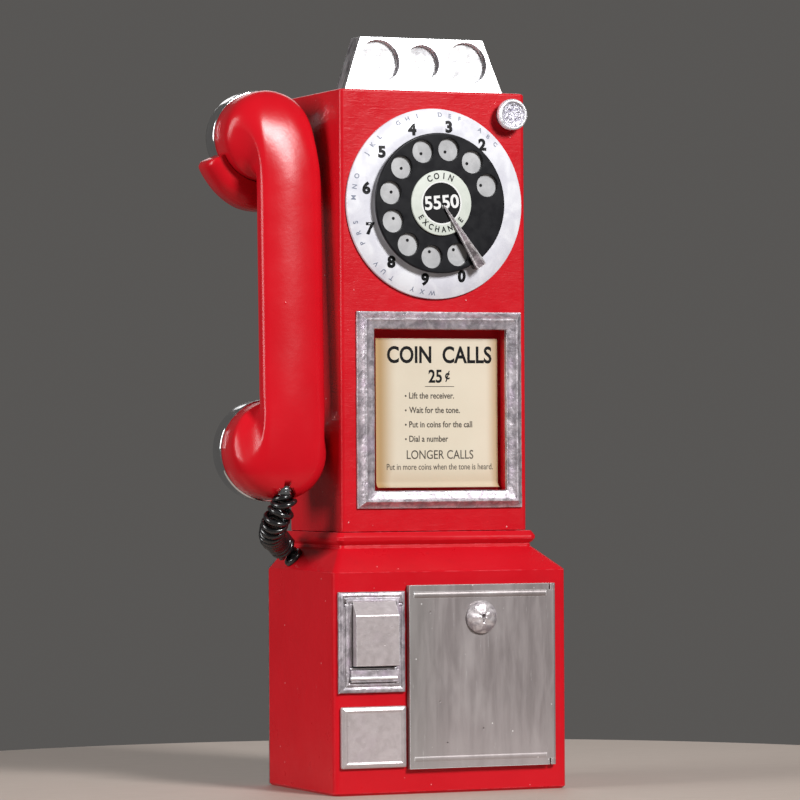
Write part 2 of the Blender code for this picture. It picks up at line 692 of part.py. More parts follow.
def handset_shell():
    ear_pivot = EAR_Z - EAR_RADIUS - 5.0
    mouth_pivot = MOUTH_Z + MOUTH_RADIUS + 5.0
    ear = elbow(ear_pivot, EAR_RADIUS, up=1)
    mouth = elbow(mouth_pivot, MOUTH_RADIUS, up=-1)[::-1]
    ends = []
    for z, radius in ((EAR_Z, EAR_RADIUS), (MOUTH_Z, MOUTH_RADIUS)):
        well = [(-3, radius - 4), (-3, radius - 2.5), (CUP_END, radius - 2.5), (CUP_END, radius)]
        ends.append(cup_rings(z, radius, well))
    mouth_end = [[(x, y, 2 * MOUTH_Z - z) for x, y, z in ring] for ring in reversed(ends[1])]
    grip = []
    for t in (0.25, 0.5, 0.75):
        grip.append([tuple(Vector(a).lerp(Vector(b), t)) for a, b in zip(ear[-1], mouth[0])])
    shell = lofted("handset_shell", ends[0] + ear + grip + mouth + mouth_end, "red")
    bore = rod("ferrule_bore", 6.8, (150, 194), (HANDSET_X, FERRULE_Y, 0), None, axis="Z", sides=20)
    return cut(shell, bore)


def ear_and_mouth():
    """The silver caps, each a deep dish that screws over its cup, and the capsules that they hold."""
    for name, z, radius, capsule in (
        ("ear", EAR_Z, EAR_RADIUS, "receiver"),
        ("mouth", MOUTH_Z, MOUTH_RADIUS, "transmitter"),
    ):
        y = lean(CUP_END, z) + GAP
        end = y + CAP_LENGTH
        rim = radius + 0.9
        outside = [(0, end), (radius * 0.55, end - 0.6), (radius * 0.86, end - 2.4), (rim - 0.4, end - 5.5),
                   (rim, end - 9), (rim, y)]
        inside = [(radius - 2.5, y), (radius - 2.5, end - 5.5), (radius * 0.8, end - 4), (0, end - 2.2)]
        turned(f"{name}_cap", outside + inside, (HANDSET_X, 0, z), "silver", sides=28)
        inner = radius - 3.2
        can = [(0, y - 4), (inner, y - 4), (inner, y + 9), (inner - 4, y + 12), (0, y + 12)]
        turned(f"{capsule}_capsule", can, (HANDSET_X, 0, z), "steel", sides=20)
    ferrule = [(0, 184.6), (5.6, 184.6), (6.4, 185.6), (6.4, 193.6), (0, 193.6)]
    turned("cord_ferrule", ferrule, (HANDSET_X, FERRULE_Y, 0), "silver", axis="Z", sides=20)


# Cord

CORD_ROUTE = [
    (-97.5, -21, 184.2), (-97.5, -21, 180.6), (-97.5, -21, 177), (-100.5, -17, 169.5), (-99.5, -8, 162.5),
    (-95, 3, 158), (-88, 15, 156.5), (-80.4, 24, 151.65), (-77.3, 24, 148.8), (-74.9, 24, 146.6),
]


def smooth_route(route, steps):
    """Catmull-Rom points through a hand-chosen route."""
    spots = [Vector(p) for p in route]
    ends = [2 * spots[0] - spots[1], *spots, 2 * spots[-1] - spots[-2]]
    points = []
    for a, b, c, d in zip(ends, ends[1:], ends[2:], ends[3:]):
        for k in range(steps):
            t = k / steps
            points.append(0.5 * (2 * b + (c - a) * t + (2 * a - 5 * b + 4 * c - d) * t**2
                                 + (3 * b - a - 3 * c + d) * t**3))
    return points + [spots[-1]]


def handset_cord():
    """The curly cord's outer shape: one fat tube from the ferrule to the grommet."""
    curve = bpy.data.curves.new("handset_cord", "CURVE")
    curve.dimensions = "3D"
    curve.bevel_depth = CORD_RADIUS * MM
    curve.bevel_resolution = 4
    curve.use_fill_caps = True
    points = smooth_route(CORD_ROUTE, 2)
    spline = curve.splines.new("POLY")
    spline.points.add(len(points) - 1)
    for target, spot in zip(spline.points, points):
        target.co = (*(spot * MM), 1)
    curve.materials.append(material("handset_cord", *MATERIALS["black"]))
    cord = bpy.data.objects.new("handset_cord", curve)
    bpy.context.scene.collection.objects.link(cord)
    return cord


def on_shoulder(obj):
    """Stand a shape that was made upright, round the origin, on the sloping left shoulder."""
    upright = Matrix.Rotation(radians(-SHOULDER_TILT), 4, "Y")
    obj.data.transform(Matrix.Translation(Vector(CORD_ENTRY) * MM) @ upright)
    return obj


def cord_grommet():
    profile = [(0, 3.4), (6.0, 3.4), (6.8, 2.6), (6.8, GAP), (4.8, GAP), (4.8, -7), (0, -7)]
    return on_shoulder(turned("cord_grommet", profile, (0, 0, 0), "black", axis="Z", sides=20))


# Ringer and electrical parts

def ringer():
    for name, x in (("left", -30.5), ("right", 30.5)):
        bell = [(2, 33), (8, 32.6), (15, 29.6), (19, 24), (20, 19), (18.8, 19), (17.8, 23.4), (14.2, 28.4),
                (7.6, 31.3), (2, 31.7)]
        turned(f"gong_{name}", bell, (x, 0, 214), "brass", sides=16)
    yoke = box("ringer_coils", (-18, 18), (36, 51), (176, 180), "copper")
    for x in (-10, 10):
        weld(yoke, rod(f"ringer_coil_{x}", 7, (179, 204), (x, 44, 0), None, axis="Z", sides=12))
    clapper = box("clapper", (-0.8, 0.8), (26.4, 28), (188, 214), "steel")
    weld(clapper, rod("clapper_ball", 3.4, (23.5, 30.5), (0, 0, 214), None, sides=12))
    weld(clapper, rod("clapper_hub", 2.2, (24.5, 33.5), (0, 0, 188), None, sides=10))


def electrical():
    box("network_block", (-54, -22), (30, 51), (262, 312), "board")
    can = [(0, 264), (9.5, 264), (10, 264.6), (10, 303), (9.4, 304), (0, 304)]
    turned("capacitor", can, (38, 39, 0), "silver", axis="Z", sides=16)
    box("terminal_block", (-18, 26), (40, 52), (322, 336), "board")


def build():
    for obj in list(bpy.data.objects):
        bpy.data.objects.remove(obj, do_unlink=True)
    vault_housing()
    upper_housing()
    backplate()
    for key, (x, z) in SCREWS.items():
        backplate_screw(key, x, z)
    coin_head()
    coin_works()
    coin_diverter()
    coin_vane()
    cash_box()
    number_plate()
    dial_case()
    finger_wheel()
    dial_centre()
    finger_stop()
    plunger()
    plunger_spring()
    card_frame()
    instruction_card()
    return_bezel()
    return_flap()
    return_tray()
    access_plate()
    vault_door()
    door_pivots()
    vault_lock()
    hook_cradle()
    hook_arm()
    hook_mount()
    handset_shell()
    ear_and_mouth()
    handset_cord()
    cord_grommet()
    ringer()
    electrical()


build()
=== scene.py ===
"""The payphone's looks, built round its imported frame: fine pieces, materials, light and a camera.

Lengths are in millimetres and are turned to metres by MM where a mesh is made.
"""

import json
from math import atan2, cos, hypot, pi, radians, sin

import bmesh
import bpy
from mathutils import Matrix, Vector, noise


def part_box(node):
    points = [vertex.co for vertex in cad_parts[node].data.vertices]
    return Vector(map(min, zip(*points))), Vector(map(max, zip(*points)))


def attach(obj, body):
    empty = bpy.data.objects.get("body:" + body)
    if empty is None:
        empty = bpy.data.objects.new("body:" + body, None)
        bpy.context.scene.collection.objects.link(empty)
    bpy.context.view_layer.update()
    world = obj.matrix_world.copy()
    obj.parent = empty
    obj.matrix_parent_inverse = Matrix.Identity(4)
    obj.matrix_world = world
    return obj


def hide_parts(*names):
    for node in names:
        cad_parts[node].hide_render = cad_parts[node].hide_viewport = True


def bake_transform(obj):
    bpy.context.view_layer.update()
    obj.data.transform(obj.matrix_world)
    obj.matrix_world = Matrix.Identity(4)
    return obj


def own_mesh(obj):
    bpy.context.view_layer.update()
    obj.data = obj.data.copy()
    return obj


MM = 0.001
NOISE_SEED = 5

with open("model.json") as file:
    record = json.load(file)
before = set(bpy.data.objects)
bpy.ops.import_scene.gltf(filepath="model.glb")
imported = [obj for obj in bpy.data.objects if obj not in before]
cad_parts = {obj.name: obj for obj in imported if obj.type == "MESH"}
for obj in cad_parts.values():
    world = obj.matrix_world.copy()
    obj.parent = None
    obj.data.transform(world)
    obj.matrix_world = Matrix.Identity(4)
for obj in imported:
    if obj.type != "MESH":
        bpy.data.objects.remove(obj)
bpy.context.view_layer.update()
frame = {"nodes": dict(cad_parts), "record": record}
RECORD = frame["record"]
BODY_OF = {node: body for body, group in RECORD["behaviour"]["bodies"].items() for node in group}


def extent(node):
    """A CAD node's lowest and highest corners, in millimetres."""
    low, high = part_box(node)
    return low / MM, high / MM


def middle(node):
    low, high = extent(node)
    return (low + high) / 2


def axle(node):
    """A node's middle, moved along Y to y = 0."""
    spot = middle(node)
    return Vector((spot.x, 0, spot.z))


def half_width(node):
    low, high = extent(node)
    return (high.x - low.x) / 2


def in_scene(name, data):
    """A new object that holds some data, linked into the scene."""
    obj = bpy.data.objects.new(name, data)
    bpy.context.scene.collection.objects.link(obj)
    return obj


# Camera, light and floor

TARGET = Vector((-9.8, 0, 243.4)) * MM
AZIMUTH = radians(-23.13)
ELEVATION = radians(-0.744)
ROLL = radians(-0.306)
DISTANCE = 2.735
LENS = 195.4


def camera():
    back = Vector((sin(AZIMUTH) * cos(ELEVATION), -cos(AZIMUTH) * cos(ELEVATION), sin(ELEVATION)))
    data = bpy.data.cameras.new("camera")
    data.lens = LENS
    data.clip_end = 50
    obj = in_scene("camera", data)
    obj.location = TARGET + back * DISTANCE
    turn = (-back).to_track_quat("-Z", "Y").to_matrix().to_4x4() @ Matrix.Rotation(ROLL, 4, "Z")
    obj.rotation_euler = turn.to_euler()
    bpy.context.scene.camera = obj


def softbox(name, place, size, power, colour=(1, 1, 1)):
    data = bpy.data.lights.new(name, "AREA")
    data.shape = "RECTANGLE"
    data.size, data.size_y = size
    data.energy = power
    data.color = colour
    obj = in_scene(name, data)
    obj.location = place
    obj.rotation_euler = (Vector(place) - TARGET).to_track_quat("Z", "Y").to_euler()


def lights():
    softbox("key_light", (0.52, -2.0, 1.40), (0.5, 0.55), 62)
    softbox("left_light", (-2.35, -0.15, 0.95), (0.9, 1.2), 40)
    softbox("back_light", (0.9, 2.2, 1.5), (1.4, 1.2), 8)
    bpy.context.scene.view_settings.view_transform = "Standard"
    world = bpy.data.worlds.new("studio")
    bpy.context.scene.world = world
    world.use_nodes = True
    sky = world.node_tree.nodes["Background"]
    sky.inputs["Color"].default_value = (0.098, 0.094, 0.090, 1)


def floor():
    bm = bmesh.new()
    bmesh.ops.create_circle(bm, cap_ends=True, segments=128, radius=0.46)
    mesh = bpy.data.meshes.new("floor")
    bm.to_mesh(mesh)
    bm.free()
    obj = in_scene("floor", mesh)
    paint = Paint("table_top", (0.36, 0.29, 0.245), 0.6)
    grain = paint.noise(2.4, 4, 0.6, stretch=(14, 1, 1))
    paint.over(grain, (0.52, 0.44, 0.385), (0.38, 0.31, 0.265))
    obj.data.materials.append(paint.material)


# Materials

LOOKS = {}


class Paint:
    """A node material in the making, kept in LOOKS. Sizes are millimetres on the object."""

    def __init__(self, name, colour, roughness, metallic=0.0, **sockets):
        self.material = LOOKS[name] = bpy.data.materials.new(name)
        self.material.use_nodes = True
        self.tree = self.material.node_tree
        self.shader = self.tree.nodes["Principled BSDF"]
        self.shader.inputs["Base Color"].default_value = (*colour, 1)
        self.shader.inputs["Roughness"].default_value = roughness
        self.shader.inputs["Metallic"].default_value = metallic
        for socket, value in sockets.items():
            self.shader.inputs[socket.replace("_", " ")].default_value = value
        self.place = self.add("TexCoord").outputs["Object"]

    def add(self, kind, inputs=None, **settings):
        node = self.tree.nodes.new("ShaderNode" + kind)
        for key, value in settings.items():
            setattr(node, key, value)
        for key, value in (inputs or {}).items():
            self.put(node.inputs[key], value)
        return node

    def put(self, socket, value):
        """Link a socket to a socket, or set it to a plain value."""
        if isinstance(value, bpy.types.NodeSocket):
            self.tree.links.new(value, socket)
        elif socket.type == "RGBA" and len(value) == 3:
            socket.default_value = (*value, 1)
        else:
            socket.default_value = value

    def noise(self, size, detail=4.0, rough=0.55, stretch=(1, 1, 1), twist=0.0):
        """Noise whose features come out longer along an axis by its stretch."""
        place = self.place
        if stretch != (1, 1, 1):
            mapping = {"Vector": place, "Scale": [1 / share for share in stretch]}
            place = self.add("Mapping", mapping).outputs["Vector"]
        values = {"Vector": place, "Scale": 1 / (size * MM), "Detail": detail, "Roughness": rough,
                  "Distortion": twist}
        return self.add("TexNoise", values).outputs["Fac"]

    def cells(self, size):
        """The distance to the nearest of a scatter of points."""
        return self.add("TexVoronoi", {"Vector": self.place, "Scale": 1 / (size * MM)}).outputs["Distance"]

    def ramp(self, value, low, high, start=0.0, stop=1.0):
        """Map low..high of a value to start..stop, smoothly and held beyond."""
        values = {"Value": value, "From Min": low, "From Max": high, "To Min": start, "To Max": stop}
        return self.add("MapRange", values, interpolation_type="SMOOTHSTEP").outputs["Result"]

    def math(self, operation, a, b, kind="Math", result="Value"):
        node = self.add(kind, operation=operation)
        self.put(node.inputs[0], a)
        self.put(node.inputs[1], b)
        return node.outputs[result]

    def blend(self, share, first, second):
        """A colour between two, by share."""
        node = self.add("Mix", data_type="RGBA")
        self.put(node.inputs["Factor"], share)
        for key, value in (("A", first), ("B", second)):
            socket = [s for s in node.inputs if s.name == key and s.type == "RGBA"][0]
            self.put(socket, value)
        return [s for s in node.outputs if s.type == "RGBA"][0]

    def axis(self, letter):
        """One object coordinate, in metres."""
        return self.add("SeparateXYZ", {"Vector": self.place}).outputs[letter]

    def near(self, centre, inner, outer):
        """1 within a radius of a line along Y through centre, falling to 0 at the outer radius."""
        flat = self.math("MULTIPLY", self.place, (1, 0, 1), "VectorMath", "Vector")
        reach = self.math("DISTANCE", flat, (centre.x * MM, 0, centre.z * MM), "VectorMath")
        return self.ramp(reach, inner * MM, outer * MM, 1, 0)

    def edges(self, radius, soft, amount):
        """An amount on edges that stand out or in, 0 on flats."""
        rounded = self.add("Bevel", {"Radius": radius * MM}, samples=4).outputs["Normal"]
        true = self.add("NewGeometry").outputs["Normal"]
        dot = self.math("DOT_PRODUCT", rounded, true, "VectorMath")
        return self.ramp(dot, 1 - soft, 0.995, amount, 0)

    def over(self, share, colour, below=None):
        """Lay a colour over the base colour so far, or over another, by share."""
        socket = self.shader.inputs["Base Color"]
        if below is None:
            below = socket.links[0].from_socket if socket.is_linked else socket.default_value[:3]
        self.put(socket, self.blend(share, below, colour))

    def roughness(self, value):
        self.put(self.shader.inputs["Roughness"], value)

    def shine(self, size, detail, low, high):
        """A roughness that wanders between two values."""
        self.roughness(self.ramp(self.noise(size, detail), 0.3, 0.7, low, high))

    def bump(self, height, depth):
        """Raise the surface by height times depth. Later bumps add to earlier ones."""
        values = {"Height": height, "Distance": depth * MM}
        socket = self.shader.inputs["Normal"]
        if socket.is_linked:
            values["Normal"] = socket.links[0].from_socket
        self.put(socket, self.add("Bump", values).outputs["Normal"])


RED = (0.62, 0.009, 0.018)
RED_DEEP = (0.50, 0.004, 0.010)
RED_STREAK_SHEEN = (0.78, 0.045, 0.065)


def enamel(name, streaks, specks, gloss):
    """Brushed-on red enamel. Streaks run across, and specks are dust in the paint. The light streaks are
    brush marks that also carry painted sheen, and the light edges are partly wear and partly painted
    highlight.
    """
    paint = Paint(name, RED, 0.36, Coat_Weight=0.05 * gloss, Coat_Roughness=0.14,
                  Specular_IOR_Level=0.2 * gloss)
    paint.over(paint.noise(46, 3), RED, RED_DEEP)
    hair = paint.noise(0.9, 5, 0.7, stretch=(10, 10, 1), twist=0.7)
    # Light streaks: brush marks that also carry painted sheen.
    paint.over(paint.ramp(hair, 0.60, 0.78, 0, 0.55 * streaks), RED_STREAK_SHEEN)
    dark = paint.noise(1.3, 4, 0.6, stretch=(12, 12, 1))
    paint.over(paint.ramp(dark, 0.60, 0.78, 0, 0.6 * streaks), (0.36, 0.001, 0.005))
    dust = paint.cells(10.5)
    paint.over(paint.ramp(dust, 0.020, 0.052, specks, 0), (0.95, 0.55, 0.56))
    # Light pink edges: partly wear, partly painted highlight.
    wear_and_sheen = paint.ramp(paint.noise(5, 4), 0.40, 0.65)
    paint.over(paint.math("MULTIPLY", wear_and_sheen, paint.edges(0.9, 0.12, 0.55)), (0.92, 0.20, 0.24))
    paint.shine(14, 5, 0.27, 0.37)
    paint.bump(paint.noise(12, 2), 0.26)
    paint.bump(paint.noise(3.5, 3, 0.6, stretch=(2.5, 2.5, 1), twist=1.2), 0.16 * streaks)
    paint.bump(hair, 0.10 * streaks)
    paint.bump(paint.ramp(dust, 0.02, 0.08, 1, 0), 0.2 * specks)


def handset_gloss():
    paint = Paint("handset_gloss", RED, 0.24, Specular_IOR_Level=0.23)
    paint.over(paint.noise(38, 3), RED, RED_DEEP)
    paint.shine(20, 3, 0.22, 0.27)
    paint.bump(paint.noise(2.6, 3), 0.035)
    paint.bump(paint.noise(9, 2), 0.06)
    paint.bump(paint.ramp(paint.cells(15), 0.015, 0.06, 1, 0), 0.10)


def silver_leaf(name, light, dark, lump=0.35, streak=(1, 1, 1), shine=0.36, calm=1.0):
    """Hand-laid silver: patches of lilac grey, dark rubs, tiny pits, and bright edges that are partly wear
    and partly painted highlight.
    """
    paint = Paint(name, light, shine, 0.55)
    patches = paint.noise(7, 5, 0.62, stretch=streak, twist=0.8)
    paint.over(paint.ramp(patches, 0.34, 0.66), light, dark)
    lilac = paint.ramp(paint.noise(13, 3, stretch=streak), 0.5, 0.72, 0, 0.55 * calm)
    paint.over(lilac, (light[0] * 0.92, light[1] * 0.80, light[2] * 0.95))
    paint.over(paint.ramp(paint.noise(1.6, 5, 0.7, stretch=streak), 0.62, 0.74, 0, 0.5), (0.95, 0.94, 0.96))
    pits = paint.cells(5.5)
    paint.over(paint.ramp(pits, 0.03, 0.075, 0.75, 0), (0.14, 0.12, 0.13))
    # Bright edges: partly wear, partly painted highlight.
    paint.over(paint.edges(0.8, 0.2, 0.85), (1.0, 0.99, 1.0))
    paint.shine(4, 5, shine - 0.08 * calm, shine + 0.18 * calm)
    paint.bump(paint.noise(3.2, 4, 0.6), lump)
    paint.bump(paint.ramp(pits, 0.03, 0.09, 0, 1), 0.12)


def knob_silver():
    """White silver round the rim, and a scribbled lilac-grey face."""
    rim = (0.80, 0.79, 0.83)
    paint = Paint("knob_silver", rim, 0.36, 0.55)
    scribble = paint.noise(2.6, 5, 0.65, twist=2.6)
    tone = paint.blend(paint.ramp(scribble, 0.40, 0.52), (0.20, 0.18, 0.26), (0.72, 0.70, 0.77))
    paint.over(paint.near(middle("return_plunger"), 6.8, 8.4), tone)
    paint.shine(2, 4, 0.28, 0.46)
    paint.bump(scribble, 0.5)


def vault_metal():
    """The door's worn sheet: long upright smears, soft light patches, scattered pits."""
    paint = Paint("vault_metal", (0.36, 0.32, 0.32), 0.40, 0.6)
    smear = paint.noise(5.5, 4, 0.6, stretch=(1, 1, 9), twist=0.5)
    paint.over(paint.ramp(smear, 0.32, 0.68), (0.335, 0.30, 0.30), (0.275, 0.243, 0.243))
    patch = paint.noise(26, 3, stretch=(1, 1, 2.2))
    paint.over(paint.ramp(patch, 0.50, 0.72, 0, 0.65), (0.46, 0.42, 0.42))
    low, _ = extent("vault_door")
    # Lighter towards the bottom and darker along the left edge.
    paint.over(paint.ramp(paint.axis("Z"), low.z * MM, (low.z + 52) * MM, 0.55, 0), (0.45, 0.40, 0.40))
    paint.over(paint.ramp(paint.axis("X"), low.x * MM, (low.x + 30) * MM, 0.35, 0), (0.28, 0.28, 0.265))
    scratch = paint.noise(1.3, 4, 0.7, stretch=(1, 1, 16))
    paint.over(paint.ramp(scratch, 0.66, 0.78, 0, 0.6), (0.9, 0.9, 0.9))
    pit = paint.cells(12.5)
    paint.over(paint.ramp(pit, 0.022, 0.045, 0.9, 0), (0.10, 0.09, 0.09))
    paint.over(paint.ramp(paint.cells(9.0), 0.03, 0.06, 0.9, 0), (0.95, 0.93, 0.93))
    # Near-white edges: partly wear, partly painted highlight.
    paint.over(paint.edges(0.9, 0.2, 0.8), (0.98, 0.98, 0.98))
    paint.roughness(paint.ramp(smear, 0.3, 0.7, 0.40, 0.46))
    paint.bump(paint.noise(16, 3, stretch=(1, 1, 3)), 0.4)
    paint.bump(smear, 0.03)
    paint.bump(paint.ramp(pit, 0.022, 0.06, 0, 1), 0.25)


def bright_silver():
    """The coin gauge's nearly white silver."""
    paint = Paint("bright_silver", (0.92, 0.92, 0.94), 0.34, 0.55)
    paint.over(paint.ramp(paint.noise(12, 4), 0.35, 0.7), (0.95, 0.95, 0.96), (0.80, 0.80, 0.83))
    paint.over(paint.ramp(paint.noise(2.4, 5, 0.7), 0.66, 0.76, 0, 0.35), (0.45, 0.45, 0.48))
    paint.shine(5, 4, 0.26, 0.46)
    paint.bump(paint.noise(5, 4), 0.22)


def chrome():
    paint = Paint("chrome", (0.80, 0.81, 0.83), 0.09, 1.0)
    smudge = paint.noise(9, 5, 0.6)
    paint.over(smudge, (0.86, 0.87, 0.89), (0.70, 0.71, 0.73))
    paint.roughness(paint.ramp(smudge, 0.35, 0.75, 0.06, 0.22))
    paint.bump(paint.noise(11, 2), 0.10)


def plate_enamel(name, dark, light):
    """The dial plate's enamel, clouded with faint lilac and grey."""
    paint = Paint(name, light, 0.34, Coat_Weight=0.1, Coat_Roughness=0.15)
    paint.over(paint.ramp(paint.noise(15, 4, twist=1.0), 0.35, 0.72), light, dark)
    paint.over(paint.ramp(paint.noise(3, 5, 0.7), 0.64, 0.76, 0, 0.35), (0.62, 0.60, 0.64))
    paint.shine(8, 4, 0.22, 0.4)
    paint.bump(paint.noise(10, 3), 0.14)


def black_lacquer():
    """Black lacquer with a little dust and faint hairlines."""
    paint = Paint("wheel_black", (0.008, 0.008, 0.010), 0.34, Specular_IOR_Level=0.18)
    paint.over(paint.ramp(paint.noise(1.2, 5, 0.75), 0.70, 0.80, 0, 0.14), (0.13, 0.13, 0.12))
    paint.shine(6, 4, 0.30, 0.40)
    paint.bump(paint.noise(9, 2), 0.05)


def rubber_black():
    paint = Paint("cord_rubber", (0.008, 0.008, 0.009), 0.22, Coat_Weight=0.5, Coat_Roughness=0.12)
    paint.over(paint.noise(5, 3), (0.014, 0.014, 0.015), (0.006, 0.006, 0.007))
    paint.shine(3, 4, 0.14, 0.34)
    paint.bump(paint.noise(2.2, 3), 0.12)


def card_paper():
    """Cream card that browns towards its left and right edges and its curled foot."""
    paint = Paint("card_paper", (0.80, 0.71, 0.55), 0.75)
    low, high = extent("instruction_card")
    x, z = paint.axis("X"), paint.axis("Z")
    paint.over(paint.noise(22, 4), (0.72, 0.645, 0.515), (0.66, 0.585, 0.455))
    left = paint.ramp(x, low.x * MM, (low.x + 15) * MM, 1, 0)
    right = paint.ramp(x, (high.x - 8.5) * MM, high.x * MM, 0, 0.75)
    foot = paint.ramp(z, (low.z + 3) * MM, (low.z + 17) * MM, 0.30, 0)
    brown = paint.math("MAXIMUM", paint.math("MAXIMUM", left, right), foot)
    paint.over(brown, (0.40, 0.245, 0.085))
    paint.over(paint.ramp(x, low.x * MM, (low.x + 4) * MM, 0.5, 0), (0.56, 0.40, 0.20))
    fibre = paint.noise(0.5, 4, 0.7)
    paint.over(paint.ramp(fibre, 0.5, 0.8, 0, 0.12), (0.5, 0.42, 0.3))
    paint.bump(fibre, 0.03)


def label_paper():
    paint = Paint("label_paper", (0.60, 0.64, 0.57), 0.5)
    paint.over(paint.noise(5, 4), (0.68, 0.71, 0.65), (0.52, 0.56, 0.50))
    paint.bump(paint.noise(0.6, 4), 0.02)


def dimmed(colour, share):
    return tuple(min(1, channel * share) for channel in colour)


def ink(name, colour, shade=0.6):
    """Printing ink with slightly uneven cover."""
    paint = Paint(name, colour, 0.45, Specular_IOR_Level=0.15)
    paint.over(paint.noise(0.9, 4, 0.7), colour, dimmed(colour, shade))


def plain_metal(name, colour, roughness, grain=(1, 1, 6), tarnish=0.5):
    """Sheet or turned metal for the works: fine grain and cloudy tarnish."""
    paint = Paint(name, colour, roughness, 1.0)
    paint.over(paint.ramp(paint.noise(14, 5, 0.6), 0.42, 0.72, 0, tarnish), dimmed(colour, 0.55))
    lines = paint.noise(0.8, 3, 0.6, stretch=grain)
    paint.over(paint.ramp(lines, 0.4, 0.7, 0, 0.3), dimmed(colour, 1.35))
    paint.roughness(paint.ramp(lines, 0.3, 0.7, roughness - 0.08, roughness + 0.12))
    paint.bump(lines, 0.03)


def windings():
    """Lacquered copper wire wound in close turns round a spool."""
    paint = Paint("copper", (0.50, 0.17, 0.07), 0.3, 0.9, Coat_Weight=0.4)
    wave = {"Vector": paint.place, "Scale": 400.0, "Distortion": 0.4}
    turns = paint.add("TexWave", wave, bands_direction="Z").outputs["Fac"]
    paint.over(turns, (0.62, 0.24, 0.10), (0.22, 0.06, 0.025))
    paint.bump(turns, 0.2)


def moulding(name, colour):
    """Dull moulded plastic with a fine sparkle texture."""
    paint = Paint(name, colour, 0.5)
    paint.over(paint.noise(9, 4), colour, dimmed(colour, 0.6))
    paint.shine(4, 4, 0.38, 0.6)
    paint.bump(paint.noise(0.9, 3), 0.05)


enamel("column_red", 0.8, 0.9, 1.0)
enamel("base_red", 0.12, 0.6, 0.7)
handset_gloss()
silver_leaf("frame_silver", (0.56, 0.51, 0.55), (0.26, 0.235, 0.26))
silver_leaf("flap_silver", (0.575, 0.515, 0.525), (0.505, 0.45, 0.455), 0.12, calm=0.25)
silver_leaf("lock_silver", (0.72, 0.67, 0.68), (0.30, 0.26, 0.28), 0.4)
silver_leaf("stop_silver", (0.24, 0.205, 0.21), (0.10, 0.085, 0.09), 0.3)
# A darker silver for the coin gauge's left side: painted shade.
silver_leaf("shaded_side_silver", (0.42, 0.41, 0.42), (0.07, 0.065, 0.07), 0.3, (1, 1, 5))
knob_silver()
vault_metal()
bright_silver()
chrome()
plate_enamel("plate_white", (0.66, 0.655, 0.72), (0.82, 0.82, 0.86))
# A greyer copy of the plate enamel: painted shade for the plate seen through the finger holes.
plate_enamel("plate_shaded_grey", (0.44, 0.44, 0.45), (0.58, 0.58, 0.59))
black_lacquer()
rubber_black()
card_paper()
label_paper()
ink("black_ink", (0.007, 0.007, 0.008))
ink("grey_ink", (0.26, 0.28, 0.36), 0.8)
ink("white_ink", (0.85, 0.85, 0.84), 0.85)
ink("soft_ink", (0.10, 0.085, 0.07), 0.7)
plain_metal("steel", (0.46, 0.46, 0.47), 0.36)
plain_metal("bright_steel", (0.66, 0.66, 0.67), 0.24, tarnish=0.25)
plain_metal("brass", (0.70, 0.50, 0.19), 0.28, (6, 1, 6), 0.4)
windings()
moulding("bakelite", (0.055, 0.035, 0.028))
moulding("grey_paint", (0.20, 0.22, 0.22))


# Shape helpers

def finish(bm, smooth=35):
    """Close a bmesh, whose points are in millimetres, into an object whose faces point out."""
    bmesh.ops.recalc_face_normals(bm, faces=bm.faces)
    bmesh.ops.scale(bm, vec=(MM, MM, MM), verts=bm.verts)
    mesh = bpy.data.meshes.new("shape")
    bm.to_mesh(mesh)
    bm.free()
    if smooth:
        mesh.shade_smooth()
        mesh.set_sharp_from_angle(angle=radians(smooth))
    return in_scene("shape", mesh)


def lofted(rings, closed=False, smooth=35):
    """A solid skinned over rings of as many points each. A closed one joins its last to its first."""
    bm = bmesh.new()
    rows = [[bm.verts.new(p) for p in ring] for ring in rings]
    count = len(rows[0])
    for low, high in zip(rows, rows[1:] + (rows[:1] if closed else [])):
        for i in range(count):
            j = (i + 1) % count
            bm.faces.new((low[i], low[j], high[j], high[i]))
    if not closed:
        bm.faces.new(rows[0])
        bm.faces.new(rows[-1])
    return finish(bm, smooth)


def place(axis, a, b, along):
    """A point at (a, b) across an axis and at a distance along it."""
    return {"X": (along, a, b), "Y": (a, along, b), "Z": (a, b, along)}[axis]


def prism(outline, span, axis="Y", smooth=35):
    """A flat outline extruded along an axis. The outline lies in XZ for Y, YZ for X and XY for Z."""
    return lofted([[place(axis, a, b, t) for a, b in outline] for t in span], smooth=smooth)


def block(x, y, z):
    return prism([(x[0], y[0]), (x[1], y[0]), (x[1], y[1]), (x[0], y[1])], z, "Z")


def turned(profile, centre, axis="Y", sides=96, smooth=35):
    """A closed profile of (radius, distance along the axis) turned round a line through centre."""
    bm = bmesh.new()
    rows = []
    for radius, along in profile:
        count = sides if radius else 1
        angles = [2 * pi * k / sides for k in range(count)]
        spots = [place(axis, radius * cos(a), radius * sin(a), along) for a in angles]
        rows.append([bm.verts.new(Vector(p) + Vector(centre)) for p in spots])
    for low, high in zip(rows, rows[1:] + rows[:1]):
        if len(low) == len(high) == 1:
            continue
        for i in range(sides):
            j = (i + 1) % sides
            corners = [low[i % len(low)], low[j % len(low)], high[j % len(high)], high[i % len(high)]]
            bm.faces.new(list(dict.fromkeys(corners)))
    return finish(bm, smooth)


def rod(radius, span, centre, axis="Y", sides=48):
    start, stop = span
    return turned([(0, start), (radius, start), (radius, stop), (0, stop)], centre, axis, sides)


def arc(centre, radius, start, stop, steps):
    """Points along an arc, angles in degrees."""
    angles = [radians(start + (stop - start) * k / steps) for k in range(steps + 1)]
    return [(centre[0] + radius * cos(a), centre[1] + radius * sin(a)) for a in angles]


def around(centre, radius, angle):
    """A spot round a centre, as seen from the front. The angle is in degrees from its right."""
    a = radians(angle)
    return centre[0] + radius * cos(a), 0, centre[2] + radius * sin(a)


